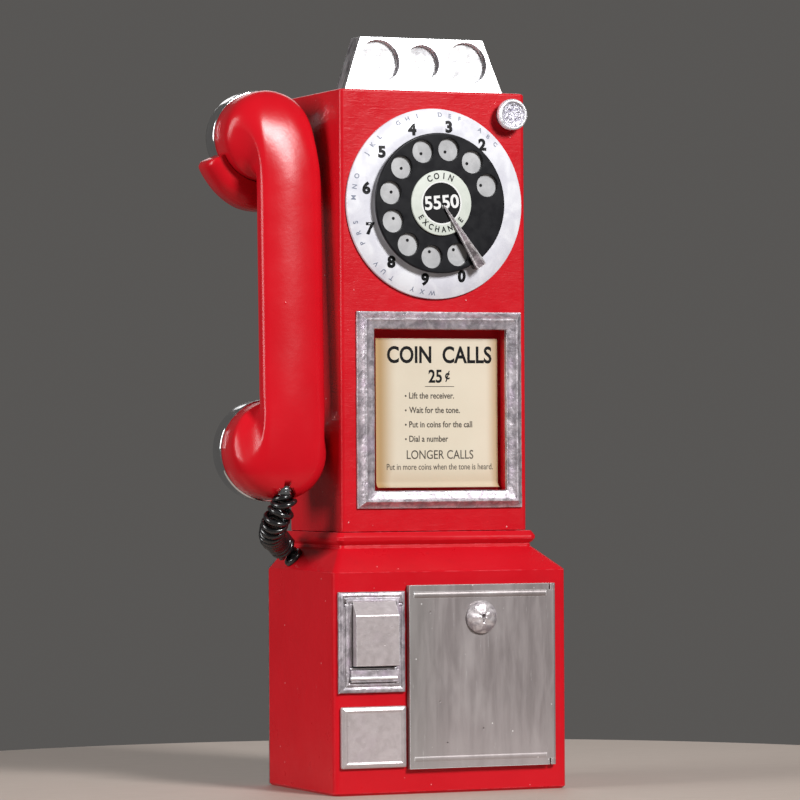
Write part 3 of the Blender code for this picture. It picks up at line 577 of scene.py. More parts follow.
def combine(target, tools, operation):
    """Cut or join meshes, and leave one plain mesh."""
    for tool in tools:
        change = target.modifiers.new("change", "BOOLEAN")
        change.operation = operation
        change.solver = "EXACT"
        change.object = tool
    graph = bpy.context.evaluated_depsgraph_get()
    mesh = bpy.data.meshes.new_from_object(target.evaluated_get(graph))
    target.modifiers.clear()
    target.data = mesh
    for tool in tools:
        bpy.data.objects.remove(tool)
    return target


def cut(target, *tools):
    return combine(target, tools, "DIFFERENCE")


def weld(target, *tools):
    return combine(target, tools, "UNION")


def flat_faces(obj, weight=50, keep_sharp=False):
    """Shade an object's flats flat."""
    shading = obj.modifiers.new("shading", "WEIGHTED_NORMAL")
    shading.weight = weight
    shading.keep_sharp = keep_sharp
    return obj


def soften(obj, width, segments=3, angle=32):
    """Round an object's edges, and shade its flats flat."""
    rounding = obj.modifiers.new("rounding", "BEVEL")
    rounding.width = width * MM
    rounding.segments = segments
    rounding.limit_method = "ANGLE"
    rounding.angle_limit = radians(angle)
    rounding.miter_outer = "MITER_ARC"
    return flat_faces(obj)


def wobble(obj, amount, size, seed=0):
    """Shift a mesh's points a little, as a hand-finished casting does."""
    noise.seed_set(NOISE_SEED)
    offset = Vector((seed, seed * 1.7, seed * 2.3))
    for vertex in obj.data.vertices:
        shift = noise.noise_vector(vertex.co / (size * MM) + offset)
        vertex.co += shift * amount * MM
    return obj


def dress(obj, look):
    obj.data.materials.clear()
    obj.data.materials.append(LOOKS[look])
    return obj


def add_to(obj, name, node, look):
    """A further piece rides with a CAD node."""
    obj.name = name
    dress(obj, look)
    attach(obj, BODY_OF[node])


def stand_for(obj, node, look):
    """A fine piece takes a CAD node's place."""
    add_to(obj, f"{node}_fine", node, look)
    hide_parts(node)


# Lettering

def glyphs(words, size, weight=0.0, squeeze=1.0, thick=0.12):
    """A line of text as (points, faces), centred on the origin in XZ, its face towards -Y."""
    curve = bpy.data.curves.new("words", "FONT")
    curve.body = words
    curve.align_x = "CENTER"
    curve.align_y = "CENTER"
    curve.size = size
    curve.offset = weight
    curve.extrude = thick / 2
    curve.resolution_u = 4
    obj = in_scene("words", curve)
    bpy.context.view_layer.update()
    mesh = bpy.data.meshes.new_from_object(obj.evaluated_get(bpy.context.evaluated_depsgraph_get()))
    bpy.data.objects.remove(obj)
    points = [Vector((v.co.x * squeeze, -v.co.z, v.co.y)) for v in mesh.vertices]
    faces = [tuple(p.vertices) for p in mesh.polygons]
    bpy.data.meshes.remove(mesh)
    return points, faces


def slab(outline, thick):
    """A flat shape as (points, faces), like a glyph."""
    count = len(outline)
    points = [Vector((x, y, z)) for y in (-thick / 2, thick / 2) for x, z in outline]
    faces = [tuple(range(count)), tuple(range(count, 2 * count))]
    faces += [(k, (k + 1) % count, count + (k + 1) % count, count + k) for k in range(count)]
    return points, faces


def dot(radius, thick=0.12):
    return slab(arc((0, 0), radius, 0, 345, 23), thick)


def printed(marks):
    """Join glyphs into one mesh. A mark is (glyph, place), where place moves one point."""
    bm = bmesh.new()
    for (points, faces), move in marks:
        verts = [bm.verts.new(move(p)) for p in points]
        for face in faces:
            bm.faces.new([verts[i] for i in face])
    return finish(bm, smooth=0)


def at(x, y, z, turn=0.0):
    """Place a glyph's points at a spot, turned anticlockwise as seen from the front."""
    c, s = cos(radians(turn)), sin(radians(turn))
    return lambda p: Vector((x + p.x * c - p.z * s, y + p.y, z + p.x * s + p.z * c))


# Dial

DIAL = Vector((0, 0, middle("number_plate").z))
PLATE_RADIUS = half_width("number_plate")
PLATE_FRONT = extent("number_plate")[0].y
WHEEL_RADIUS = extent("finger_wheel")[1].x
WHEEL_FRONT, WHEEL_BACK = (corner.y for corner in extent("finger_wheel"))
STEP_FRONT = WHEEL_BACK + 0.35
LABEL_RADIUS = extent("dial_card")[1].x
LABEL_FRONT, LABEL_BACK = (corner.y for corner in extent("dial_card"))
HOLE_RADIUS = 7.1
HOLE_CIRCLE = 34.0
FIRST_HOLE = 20
HOLE_PITCH = 30
STOP_ANGLE = -56
NUMERAL_CIRCLE = 48.4
LETTER_CIRCLE = 55.6


def plate_face(radius):
    """How far forward the plate's face lies at a radius: flat inside, then falling to the rim."""
    flat = 46.0
    fall = max(0.0, radius - flat) / (PLATE_RADIUS - flat)
    return PLATE_FRONT + 3.4 * fall**2


def number_plate():
    bore, back = 9.0, -32.3
    face = [(r, plate_face(r)) for r in (bore, 30, 44, 46, 48, 50, 52, 54, 56, 57.6)]
    rim = arc((PLATE_RADIUS - 0.9, plate_face(PLATE_RADIUS) + 0.7), 0.9, -75, 0, 5)
    under = [(PLATE_RADIUS, back), (PLATE_RADIUS - 1.9, back), (49, -35.0), (45, -36.2), (bore, -36.2)]
    stand_for(turned(face + rim + under, DIAL, sides=144), "number_plate", "plate_white")


def on_plate(angle, radius, turn, lift=0.05):
    """Place a glyph on the plate at an angle, wrapped on its face."""
    x, _, z = around(DIAL, radius, angle)
    spot = at(x, 0, z, turn)

    def move(p):
        q = spot(p)
        return Vector((q.x, plate_face(hypot(q.x, q.z - DIAL.z)) + p.y - lift, q.z))

    return move


def numerals():
    figures, letters, dots = [], [], []
    groups = ["", "ABC", "DEF", "GHI", "JKL", "MNO", "PRS", "TUV", "WXY", ""]
    for index, group in enumerate(groups):
        angle = FIRST_HOLE + HOLE_PITCH * index
        figure = str((index + 1) % 10)
        if index:
            figures.append((glyphs(figure, 9.6, 0.52, 1.04), on_plate(angle, NUMERAL_CIRCLE, 0)))
        for k, letter in enumerate(group):
            spot = angle - 7.0 * (k - 1)
            mark = glyphs(letter, 3.9, 0.06, 1.05, 0.08)
            letters.append((mark, on_plate(spot, LETTER_CIRCLE, spot - 90)))
        x, _, z = around(DIAL, 0.93 * HOLE_CIRCLE, angle)
        dots.append((dot(1.0), at(x - 1.3, STEP_FRONT - 0.05, z + 0.9)))
    inner, outer, foot = 26, 42, PLATE_FRONT + 0.6
    step = [(inner, STEP_FRONT), (outer - 0.8, STEP_FRONT), (outer, STEP_FRONT + 0.8), (outer, foot),
            (inner, foot)]
    # The raised ring under the holes wears the greyer copy: painted shade.
    add_to(turned(step, DIAL), "plate_step", "number_plate", "plate_shaded_grey")
    add_to(printed(figures), "dial_numerals", "number_plate", "black_ink")
    add_to(printed(letters), "dial_letters", "number_plate", "grey_ink")
    add_to(printed(dots), "dial_dots", "number_plate", "black_ink")


def finger_wheel():
    hub, depth, lip = 6.2, 0.5, 0.35
    rim = arc((WHEEL_RADIUS - 0.9, WHEEL_FRONT + 0.9), 0.9, -90, 0, 5)
    under = [(WHEEL_RADIUS, WHEEL_BACK - 0.4), (WHEEL_RADIUS - 0.4, WHEEL_BACK), (hub, WHEEL_BACK)]
    wheel = turned([(hub, WHEEL_FRONT), *rim, *under], DIAL, sides=144)
    wide = HOLE_RADIUS + lip + 0.4
    flare = [(0, WHEEL_FRONT - 3), (wide, WHEEL_FRONT - 3), (wide, WHEEL_FRONT - 0.01)]
    for t in (0, 22, 45, 67, 90):
        flare.append((HOLE_RADIUS + lip * (1 - sin(radians(t))), WHEEL_FRONT + depth * (1 - cos(radians(t)))))
    flare += [(HOLE_RADIUS, -38), (0, -38)]
    spots = [around(DIAL, HOLE_CIRCLE, FIRST_HOLE + HOLE_PITCH * n) for n in range(10)]
    holes = [turned(flare, spot, sides=48) for spot in spots]
    stand_for(flat_faces(cut(wheel, *holes), 80, True), "finger_wheel", "wheel_black")


def round_words(words, radius, centre, pitch, size, y, inward=False):
    """Letters set round a circle, reading left to right at the top, or at the bottom if inward."""
    marks = []
    for k, letter in enumerate(words):
        step = pitch * (k - (len(words) - 1) / 2)
        angle = centre + step if inward else centre - step
        turn = angle + 90 if inward else angle - 90
        x, _, z = around(DIAL, radius, angle)
        marks.append((glyphs(letter, size, 0.13, 0.86, 0.08), at(x, y, z, turn)))
    return marks


def dial_label():
    """The label under its ring of words and its number."""
    rim = arc((LABEL_RADIUS - 0.5, LABEL_FRONT + 0.5), 0.5, -90, 0, 4)
    face = [(0, LABEL_FRONT), *rim, (LABEL_RADIUS, LABEL_BACK), (0, LABEL_BACK)]
    stand_for(turned(face, DIAL), "dial_card", "label_paper")
    y = LABEL_FRONT - 0.03
    ring = turned([(12.7, y - 0.03), (13.6, y - 0.03), (13.6, y + 0.1), (12.7, y + 0.1)], DIAL)
    add_to(ring, "label_ring", "dial_card", "white_ink")
    centre = rod(12.8, (y - 0.02, y + 0.1), DIAL, sides=96)
    add_to(centre, "label_centre", "dial_card", "black_ink")
    words = round_words("COIN", 16.7, 93, 17, 5.4, y)
    words += round_words("EXCHANGE", 16.7, -93, 15.5, 5.0, y, inward=True)
    add_to(printed(words), "label_words", "dial_card", "black_ink")
    number = [(glyphs("5550", 11.6, 0.30, 1.02, 0.08), at(0, y - 0.06, DIAL.z, 5))]
    add_to(printed(number), "label_number", "dial_card", "white_ink")


def finger_stop():
    """A tapered blade whose face is hollowed between two bright edges."""
    front = extent("finger_stop")[0].y
    rows = []
    for t in (0.0, 0.12, 0.3, 0.5, 0.7, 0.85, 0.95, 1.0):
        along = 2.0 + 45.6 * t
        half = 0.4 + 3.2 * min(1.0, t / 0.9) - (0.25 if t == 1.0 else 0)
        lip = min(0.8, half * 0.4)
        hollow = front + 0.35 * min(1, t * 3)
        side = [(front + 0.45, half), (front, half - lip * 0.4), (front, half - lip),
                (hollow, half - lip * 1.3)]
        across = side + [(y, -z) for y, z in reversed(side)] + [(front + 1.2, -half), (front + 1.2, half)]
        rows.append([(along, y, z) for y, z in across])
    blade = lofted(rows, smooth=40)
    foot = prism([(44.9, -3.0), (44.9, 3.0), (47.4, 3.0), (47.4, -3.0)], (-45.8, -37.9))
    weld(blade, foot)
    turn = Matrix.Translation(DIAL * MM) @ Matrix.Rotation(radians(-STOP_ANGLE), 4, "Y")
    blade.data.transform(turn)
    stand_for(blade, "finger_stop", "stop_silver")


def toothed(teeth, pitch_radius, span, centre, bore):
    """A spur gear with plain trapezoid teeth."""
    tall = 2.0 * pitch_radius / teeth
    outline = []
    for k in range(teeth):
        for share, radius in ((0.0, -0.6), (0.22, -0.6), (0.36, 0.5), (0.64, 0.5), (0.78, -0.6)):
            a = 2 * pi * (k + share) / teeth
            r = pitch_radius - 0.3 + radius * tall
            outline.append((centre[0] + r * cos(a), centre[2] + r * sin(a)))
    gear = prism(outline, span, smooth=0)
    return cut(gear, rod(bore, (span[0] - 2, span[1] + 2), centre)) if bore else gear


def dial_works():
    low, high = extent("drive_gear")
    gear = toothed(75, 20.0, (low.y, high.y), DIAL, 4.2)
    windows = [rod(4.2, (low.y - 2, high.y + 2), around(DIAL, 12, 72 * k), sides=32) for k in range(5)]
    stand_for(cut(gear, *windows), "drive_gear", "brass")
    spot = axle("governor_rotor")
    shaft = [(0, -30), (1.2, -30), (1.5, -29.6), (1.5, -21), (8.6, -21), (9, -20.6), (9, -15.4), (8.6, -15),
             (1.5, -15), (1.5, -12.7), (1.2, -12.4), (0, -12.4)]
    rotor = weld(turned(shaft, spot, sides=48), toothed(18, 4.8, (-26, -23.6), spot, 0))
    stand_for(rotor, "governor_rotor", "brass")


# Coin gauge and plunger

COIN_Z = 454.6
COIN_FLOOR = -14.2
COIN_RECESSES = ((-30.8, 13.8), (-1.3, 11.4), (28.7, 13.8))


def coin_head():
    """A leaning trapezoid block whose recesses have soft lips and dished floors."""
    low, high = extent("coin_head")
    rings = []
    for z, left, right, front, back in ((low.z, -55, 52.5, -21, -5), (high.z, -43, 40.5, -17.5, -3)):
        rings.append([(left, front, z), (right, front, z), (right, back, z), (left, back, z)])
    head = lofted(rings)
    tools = []
    for x, radius in COIN_RECESSES:
        bowl = [(0, -30), (radius, -30), (radius, COIN_FLOOR - 0.9), (radius - 0.3, COIN_FLOOR - 0.35),
                (radius - 0.9, COIN_FLOOR), (0, COIN_FLOOR)]
        tools.append(turned(bowl, (x, 0, COIN_Z), sides=64))
        across = (x - radius + 2, x + radius - 2)
        tools.append(block(across, (COIN_FLOOR - 2.9, COIN_FLOOR - 0.1), (430, COIN_Z)))
    soften(cut(head, *tools), 0.9, 3)
    stand_for(head, "coin_head", "bright_silver")
    # The left-facing faces take the darker silver: painted shade.
    head.data.materials.append(LOOKS["shaded_side_silver"])
    for face in head.data.polygons:
        if face.normal.x < -0.8:
            face.material_index = 1


def return_plunger():
    spot = axle("return_plunger")
    r = half_width("return_plunger")
    front = extent("return_plunger")[0].y
    face = [(0, front + 1.5), (2.4, front + 1.25), (5, front + 1.1), (7.0, front + 1.2), (7.5, front + 0.9)]
    rim = arc((8.3, front + 0.8), 0.8, 180, 270, 3) + arc((r - 1.3, front + 1.3), 1.3, -90, 0, 5)
    stem = [(r, -37.9), (r - 0.4, -37.4), (7.2, -37.4), (7.2, -28.7), (8.5, -28.7), (8.5, -27.3), (3, -27.3),
            (3, -12.3), (2.7, -12), (0, -12)]
    knob = turned(face + rim + stem, spot, sides=72)
    pit = [(0, front - 1), (0.75, front - 1), (0.75, front + 1.3), (0, front + 1.9)]
    pits = [turned(pit, around(spot, 3.2 + k % 3 * 0.9, 40 * k + 13), sides=10) for k in range(9)]
    stand_for(cut(knob, *pits), "return_plunger", "knob_silver")


def plunger_spring():
    """The spring's wire, wound by a loop."""
    low, high = extent("plunger_spring")
    spot = axle("plunger_spring")
    wire, turns, steps, travel = 0.45, 7, 20, 5.3
    radius = half_width("plunger_spring") - wire
    points = []
    for k in range(turns * steps + 1):
        x, _, z = around(spot, radius, 360 * k / steps)
        y = low.y + wire + (high.y - low.y - 2 * wire) * k / (turns * steps)
        points.append(Vector((x, y, z)))
    spring = tube_through(points, wire, 8)
    stand_for(spring, "plunger_spring", "bright_steel")
    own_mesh(spring)


def carried_along(points, side):
    """Each point of a line, with two directions square to it that never twist."""
    for k, spot in enumerate(points):
        ahead = (points[min(k + 1, len(points) - 1)] - points[max(k - 1, 0)]).normalized()
        side = (side - ahead * side.dot(ahead)).normalized()
        yield spot, side, ahead.cross(side)


def tube_through(points, radius, sides=10):
    """A round tube along points, as a mesh closed at both ends."""
    turn = [2 * pi * n / sides for n in range(sides)]
    rings = []
    for spot, side, over in carried_along(points, Vector((0, 1, 0))):
        rings.append([tuple(spot + (side * cos(a) + over * sin(a)) * radius) for a in turn])
    return lofted(rings, smooth=50)


# Card and frame

def inset_corners(low, high, inset):
    """The corners of a box's outline in XZ, drawn in by an inset."""
    x0, x1, z0, z1 = low.x + inset, high.x - inset, low.z + inset, high.z - inset
    return [(x0, z0), (x1, z0), (x1, z1), (x0, z1)]


def picture_frame(node, profile, back, steps=22):
    """A mitred frame round a node's box. The profile runs from the outer edge inwards as (inset, rise)."""
    rings = []
    for inset, rise in profile:
        corners = inset_corners(*extent(node), inset)
        ring = []
        for (xa, za), (xb, zb) in zip(corners, corners[1:] + corners[:1]):
            for k in range(steps):
                t = k / steps
                ring.append((xa + (xb - xa) * t, back - rise, za + (zb - za) * t))
        rings.append(ring)
    return lofted(rings, closed=True, smooth=30)


def card_frame():
    """A moulding with a rolled ridge and a sloping inner band."""
    profile = [(0, 0), (0, 0.9), (0.25, 1.35), (0.8, 1.6), (1.6, 2.2), (3.2, 3.7), (3.9, 4.7), (4.3, 5.0),
               (5.1, 5.0), (5.6, 4.7), (6.3, 4.3), (8.6, 3.85), (10.2, 3.6), (10.7, 3.3), (11.0, 2.8),
               (11.0, 0)]
    moulded = picture_frame("card_frame", profile, extent("card_frame")[1].y)
    stand_for(wobble(moulded, 0.22, 9), "card_frame", "frame_silver")


def instruction_card():
    """The card, with its foot curled forward."""
    low, high = extent("instruction_card")
    back, thick, curl = high.y, 0.5, 4.0
    centre = (back - curl - thick, low.z + curl + thick - 0.25)
    front = arc(centre, curl, 0, -70, 14)
    rear = arc(centre, curl + thick, 0, -70, 14)
    outline = [(back - thick, high.z), *front, *reversed(rear), (back, high.z)]
    card = prism(outline, (low.x, high.x), "X")
    stand_for(soften(card, 0.12, 2), "instruction_card", "card_paper")
    card_words(low, high, back - thick)


def card_words(low, high, face):
    """Generic wording in black and soft brown-black ink. Heights are shares of the card, from the top."""
    middle_x = (low.x + high.x) / 2 + 1.8

    def spot(x, share):
        return at(x, face - 0.02, high.z - share * (high.z - low.z))

    def line(words, share, size, weight, squeeze, x=middle_x, flush=False):
        glyph = glyphs(words, size, weight, squeeze, 0.06)
        return glyph, spot(x - flush * min(p.x for p in glyph[0]), share)

    underline = slab([(-10, -0.17), (10, -0.17), (10, 0.17), (-10, 0.17)], 0.06)
    title = [line("COIN  CALLS", 0.115, 14.4, 0.36, 0.84),
             line("25", 0.258, 11.2, 0.28, 0.86, middle_x - 7.5, True),
             line("¢", 0.246, 8.0, 0.2, 0.95, middle_x + 3.8, True),
             (underline, spot(middle_x, 0.322))]
    add_to(printed(title), "card_title", "instruction_card", "black_ink")
    small = []
    steps = ["Lift the receiver.", "Wait for the tone.", "Put in coins for the call", "Dial a number"]
    for k, words in enumerate(steps):
        share = 0.385 + 0.0965 * k
        small.append(line(words, share, 5.4, 0.10, 0.86, low.x + 22.5, True))
        small.append((dot(0.62, 0.06), spot(low.x + 20.2, share)))
    small.append(line("LONGER CALLS", 0.782, 7.8, 0.04, 0.84))
    small.append(line("Put in more coins when the tone is heard.", 0.862, 5.4, 0.03, 0.79))
    add_to(printed(small), "card_words", "instruction_card", "soft_ink")


# Coin return and vault

FLAP_AXIS = Vector((0, 1, 1))


def return_bezel():
    """The surround, with a cheek beside the flap and two bars under it."""
    low, high = extent("return_bezel")
    profile = [(0, 0), (0, 1.5), (0.3, 2.1), (0.9, 2.5), (2.2, 2.7), (2.9, 2.3), (3.5, 2.0), (4.1, 2.3),
               (4.7, 2.9), (5.6, 3.0), (6.2, 2.7), (6.5, 2.2), (6.5, 0)]
    bezel = wobble(picture_frame("return_bezel", profile, high.y, 16), 0.2, 6, 3)
    bore = rod(1.25, (-72.5, -33.5), middle("flap_pin") * FLAP_AXIS, "X", 24)
    stand_for(cut(bezel, bore), "return_bezel", "frame_silver")
    flap_low, flap_high = extent("return_flap")
    left, right = low.x + 6.4, flap_low.x - 0.35
    ridge = [(left, -56.2), (left, -58.6), (left + 0.4, -59.1), (left + 0.9, -58.5), (right - 0.3, -59.0),
             (right, -58.4), (right, -56.2)]
    cheek = prism(ridge, (low.z + 6, high.z - 5.5), "Z")
    add_to(cheek, "return_cheek", "return_bezel", "frame_silver")
    for name, radius, y, z in (("upper", 0.65, -59.4, 78.0), ("lower", 1.15, -60.9, 72.2)):
        across = rod(radius, (left + 0.2, flap_high.x), (0, y, z), "X", 20)
        add_to(across, f"return_bar_{name}", "return_bezel", "bright_silver")


def return_flap():
    """A hooded flap: sloping top with a rolled brow, flat front and two cheeks."""
    low, high = extent("return_flap")
    brow = arc((-62.9, 109.9), 2.1, 130, 180, 4)
    outer = [(high.y, high.z), (-58.2, high.z), *brow, (low.y, low.z + 0.4), (low.y + 0.5, low.z),
             (high.y, low.z)]
    inner = [(-50, 118.9), (-57.5, 118.9), (-63.7, 110.0), (-63.7, 70), (-50, 70)]
    flap = prism(outer, (low.x, high.x), "X")
    room = prism(inner, (low.x + 1.3, high.x - 1.3), "X")
    cut(flap, room, rod(1.3, (-75, -30), middle("flap_pin") * FLAP_AXIS, "X", 24))
    stand_for(soften(flap, 0.45, 3), "return_flap", "flap_silver")


def access_plate():
    low, high = extent("access_plate")
    profile = [(0, 0), (0, 1.7), (0.3, 2.15), (1.1, 2.5), (1.9, 2.75), (2.4, 3.0), (2.9, 2.95), (3.4, 2.6),
               (3.9, 2.5), (4.6, 2.5)]
    rings = []
    for inset, rise in profile:
        outline = rounded(inset_corners(low, high, inset), max(0.3, 1.0 - inset * 0.2))
        rings.append([(x, high.y - rise, z) for x, z in outline])
    plate = soften(lofted(rings, smooth=30), 0.1, 1, 40)
    stand_for(plate, "access_plate", "flap_silver")


def rounded(corners, radius, steps=4):
    """A rectangle's outline with rounded corners."""
    points = []
    for (x, z), (across, up), start in zip(corners, ((1, 1), (-1, 1), (-1, -1), (1, -1)), (180, 270, 0, 90)):
        points += arc((x + across * radius, z + up * radius), radius, start, start + 90, steps)
    return points


def vault_door():
    """The door's plate, with a rolled rib near its top and its bottom."""
    low, high = extent("vault_door")
    pin_x, pin_y = extent("door_pivot_upper")[1].x - 2.0, -58.3
    face, half, lug = -60, 2.0, 4.0
    outline = [(low.x, pin_y + half), (low.x, pin_y - half), *arc((pin_x, pin_y), half, -90, 90, 12)]
    door = prism(outline, (low.z, high.z), "Z")
    ribs = []
    for z, swell in ((low.z + 6, 0.6), (high.z - 6, 1.15)):
        rise = [(face - swell * cos(radians(t)), z + 2 * sin(radians(t))) for t in range(-80, 81, 20)]
        ribs.append(prism([(face, z - 2.3), *rise, (face, z + 2.3)], (low.x + 3, pin_x - 5), "X"))
    weld(door, *ribs)
    tools = [rod(8.4, (-70, -50), axle("lock_cylinder"))]
    for notch, bore in (((low.z - 5, low.z + lug), (low.z - 5, low.z + 12)),
                        ((high.z - lug, high.z + 5), (high.z - 12, high.z + 5))):
        tools.append(block((pin_x - 3, pin_x + 8), (-70, -50), notch))
        tools.append(rod(1.4, bore, (pin_x, pin_y, 0), "Z", 20))
    cut(door, *tools)
    stand_for(soften(door, 0.6, 3), "vault_door", "vault_metal")


def vault_lock():
    """A domed lock with a faceted face and a keyhole."""
    spot = axle("lock_cylinder")
    front = extent("lock_cylinder")[0].y
    profile = [(0, front), (2.2, front + 0.05), (4.5, front + 0.35), (7.4, front + 1.25), (9.2, front + 2.2),
               (10.0, front + 3.1), (10.2, front + 3.8), (10.2, -60.6), (8, -60.6), (8, -52), (3, -52),
               (3, -48.6), (0, -48.6)]
    lock = turned(profile, spot, sides=60, smooth=24)
    for vertex in lock.data.vertices:
        x, z = vertex.co.x / MM - spot.x, vertex.co.z / MM - spot.z
        radius = hypot(x, z)
        if vertex.co.y / MM < -61.0 and radius > 1:
            facet = abs((atan2(z, x) * 7 / pi) % 2 - 1)
            vertex.co.y += (0.45 * facet * min(1, radius / 6) + 0.12 * sin(3 * radius)) * MM
    keyhole = block((spot.x - 0.55, spot.x + 0.55), (-70, -61.5), (spot.z - 3.0, spot.z + 0.5))
    round_end = rod(1.15, (-70, -61.5), (spot.x, 0, spot.z + 0.9), sides=24)
    stand_for(cut(lock, keyhole, round_end), "lock_cylinder", "lock_silver")


# Handset

HANDSET_X = middle("ear_cap").x
MOUTH_Z = middle("mouth_cap").z
EAR_Z = middle("ear_cap").z
CAP_LIP = 0.9
MOUTH_RADIUS = half_width("mouth_cap") - CAP_LIP
EAR_RADIUS = half_width("ear_cap") - CAP_LIP
GRIP_HALF = 21.5
GRIP_THICK = 16.0
GRIP_BACK = -16.0
EAR_SHIFT = 9.4
MOUTH_SHIFT = 6.4
GRIP_CREASE = (3.4, 3.4)
GRIP_SIDE = (11.0, 7.5)
GRIP_ROUND = (13.0, 8.0)
GRIP_CROWN = 3.8
LEAN = 0.0825
CUP_END = 4.0


def lean(y, z):
    """Where a point of the upright handset lies once the handset leans back."""
    return y + (z - MOUTH_Z) * LEAN


def section(half_x, half_n, right, left, rear, crown=0.0, steps=11):
    """A rounded section of (across, outward) points, whose front bows out between its corners.

    Each corner is an ellipse, given as its two radii.
    """
    corners = [
        (half_x - right[0], half_n - right[1], right, 0),
        (left[0] - half_x, half_n - left[1], left, 90),
        (rear[0] - half_x, rear[1] - half_n, rear, 180),
        (half_x - rear[0], rear[1] - half_n, rear, 270),
    ]
    points = []
    for cx, cn, radii, start in corners:
        for k in range(steps):
            a = radians(start + 90 * (k + 0.5) / steps)
            points.append((cx + radii[0] * cos(a), cn + radii[1] * sin(a)))
        if start == 0:
            span = left[0] + right[0] - 2 * half_x
            points += [(half_x - right[0] + span * (k + 0.5) / 12, half_n) for k in range(12)]
    return [(x, n + crown * (0.4 - (x / half_x) ** 2) if n > 0 else n) for x, n in points]


def elbow(pivot_z, cup_radius, up, shift, steps=26):
    """Rings that turn from the cup's circle to the grip's flat section, round a small inner fillet."""
    fillet = 5.0
    pivot_y = GRIP_BACK + fillet
    deep = GRIP_THICK + fillet
    tall = 2 * cup_radius + fillet
    power = 3.0
    rings = []
    for k in range(steps + 1):
        a = radians(90) * k / steps
        reach = ((sin(a) / deep) ** power + (cos(a) / tall) ** power) ** (-1 / power)
        thick = reach - fillet
        share = max(0.0, (thick - GRIP_THICK) / (2 * cup_radius - GRIP_THICK))
        half_x = GRIP_HALF + (cup_radius - GRIP_HALF) * share**2 - 6 * share * (1 - share)
        centre = HANDSET_X + shift * (1 - share**1.5)
        corners = []
        for small, bend in ((GRIP_SIDE, 2), (GRIP_CREASE, 3), (GRIP_ROUND, 1)):
            rx, rn = [r + (cup_radius - r) * share**bend for r in small]
            corners.append((min(rx, half_x), min(rn, thick / 2)))
        ring = []
        for across, outward in section(half_x, thick / 2, *corners, GRIP_CROWN * (1 - share)):
            distance = fillet + thick / 2 + outward
            y = pivot_y - sin(a) * distance
            z = pivot_z + up * cos(a) * distance
            ring.append((centre + across, lean(y, z), z))
        rings.append(ring)
    return rings


def cup_rings(cup_z, stations):
    """Circles round a cup's own axis. Each station is (y, radius)."""
    rings = []
    for y, r in stations:
        circle = section(r, r, (r, r), (r, r), (r, r))
        rings.append([(HANDSET_X + a, lean(y, cup_z), cup_z + n) for a, n in circle])
    return rings


def handset_shell():
    """One skin from the ear cup's well, along the grip, to the mouth cup's well."""
    ear = elbow(EAR_Z - EAR_RADIUS - 5.0, EAR_RADIUS, 1, EAR_SHIFT)
    mouth = elbow(MOUTH_Z + MOUTH_RADIUS + 5.0, MOUTH_RADIUS, -1, MOUTH_SHIFT)[::-1]
    ends = []
    for z, radius in ((EAR_Z, EAR_RADIUS), (MOUTH_Z, MOUTH_RADIUS)):
        well = [(-3, radius - 4), (-3, radius - 2.5), (CUP_END, radius - 2.5), (CUP_END, radius - 0.7),
                (CUP_END - 0.25, radius - 0.2), (CUP_END - 0.8, radius)]
        ends.append(cup_rings(z, well))
    mouth_end = [[(x, y, 2 * MOUTH_Z - z) for x, y, z in ring] for ring in reversed(ends[1])]
    grip = []
    for k in range(1, 12):
        t = k / 12
        grip.append([tuple(Vector(a).lerp(Vector(b), t)) for a, b in zip(ear[-1], mouth[0])])
    shell = lofted(ends[0] + ear + grip + mouth + mouth_end, smooth=50)
    ferrule = middle("cord_ferrule")
    cut(shell, rod(6.8, (150, 194), (ferrule.x, ferrule.y, 0), "Z"))
    stand_for(shell, "handset_shell", "handset_gloss")


def handset_caps():
    """Chrome caps with a bead at the front, a coin edge, and sound holes through the face."""
    for name, z, radius, rings in (
        ("ear", EAR_Z, EAR_RADIUS, ((0, 1), (7, 6), (13, 12))),
        ("mouth", MOUTH_Z, MOUTH_RADIUS, ((0, 1), (5.5, 6), (11, 12), (16.5, 18))),
    ):
        spot = (HANDSET_X, 0, z)
        low, high = extent(f"{name}_cap")
        y, end, rim = low.y, high.y, radius + CAP_LIP
        bead = arc((rim - 0.9, y + 1.0), 0.9, -90, 75, 6)
        outside = [(rim - 0.25, y + 2.2), (rim - 0.2, end - 8), (rim - 0.5, end - 5.6)]
        for share, drop in ((0.95, 3.8), (0.86, 2.4), (0.74, 1.4), (0.55, 0.6), (0.3, 0.15), (0, 0)):
            outside.append((radius * share, end - drop))
        inside = [(0, end - 2.2), (radius * 0.8, end - 4), (radius - 2.5, end - 5.5), (radius - 2.5, y)]
        cap = turned(bead + outside + inside, spot, smooth=40)
        holes = [rod(1.15, (end - 6, end + 3), around(spot, circle, 360 * k / count), sides=16)
                 for circle, count in rings for k in range(count)]
        stand_for(cut(cap, *holes), f"{name}_cap", "chrome")


def cord_ferrule():
    """A stepped strain relief."""
    low, high = extent("cord_ferrule")
    spot = middle("cord_ferrule")
    steps = []
    for k in range(4):
        foot, radius = low.z + 2.0 * k, 5.2 + 0.25 * k
        steps += [(radius + 0.1, foot), (radius + 0.5, foot + 0.4), (radius + 0.5, foot + 1.3),
                  (radius, foot + 1.7)]
    profile = [(0, low.z), *steps, (5.9, high.z), (0, high.z)]
    stand_for(turned(profile, (spot.x, spot.y, 0), "Z", 48), "cord_ferrule", "chrome")


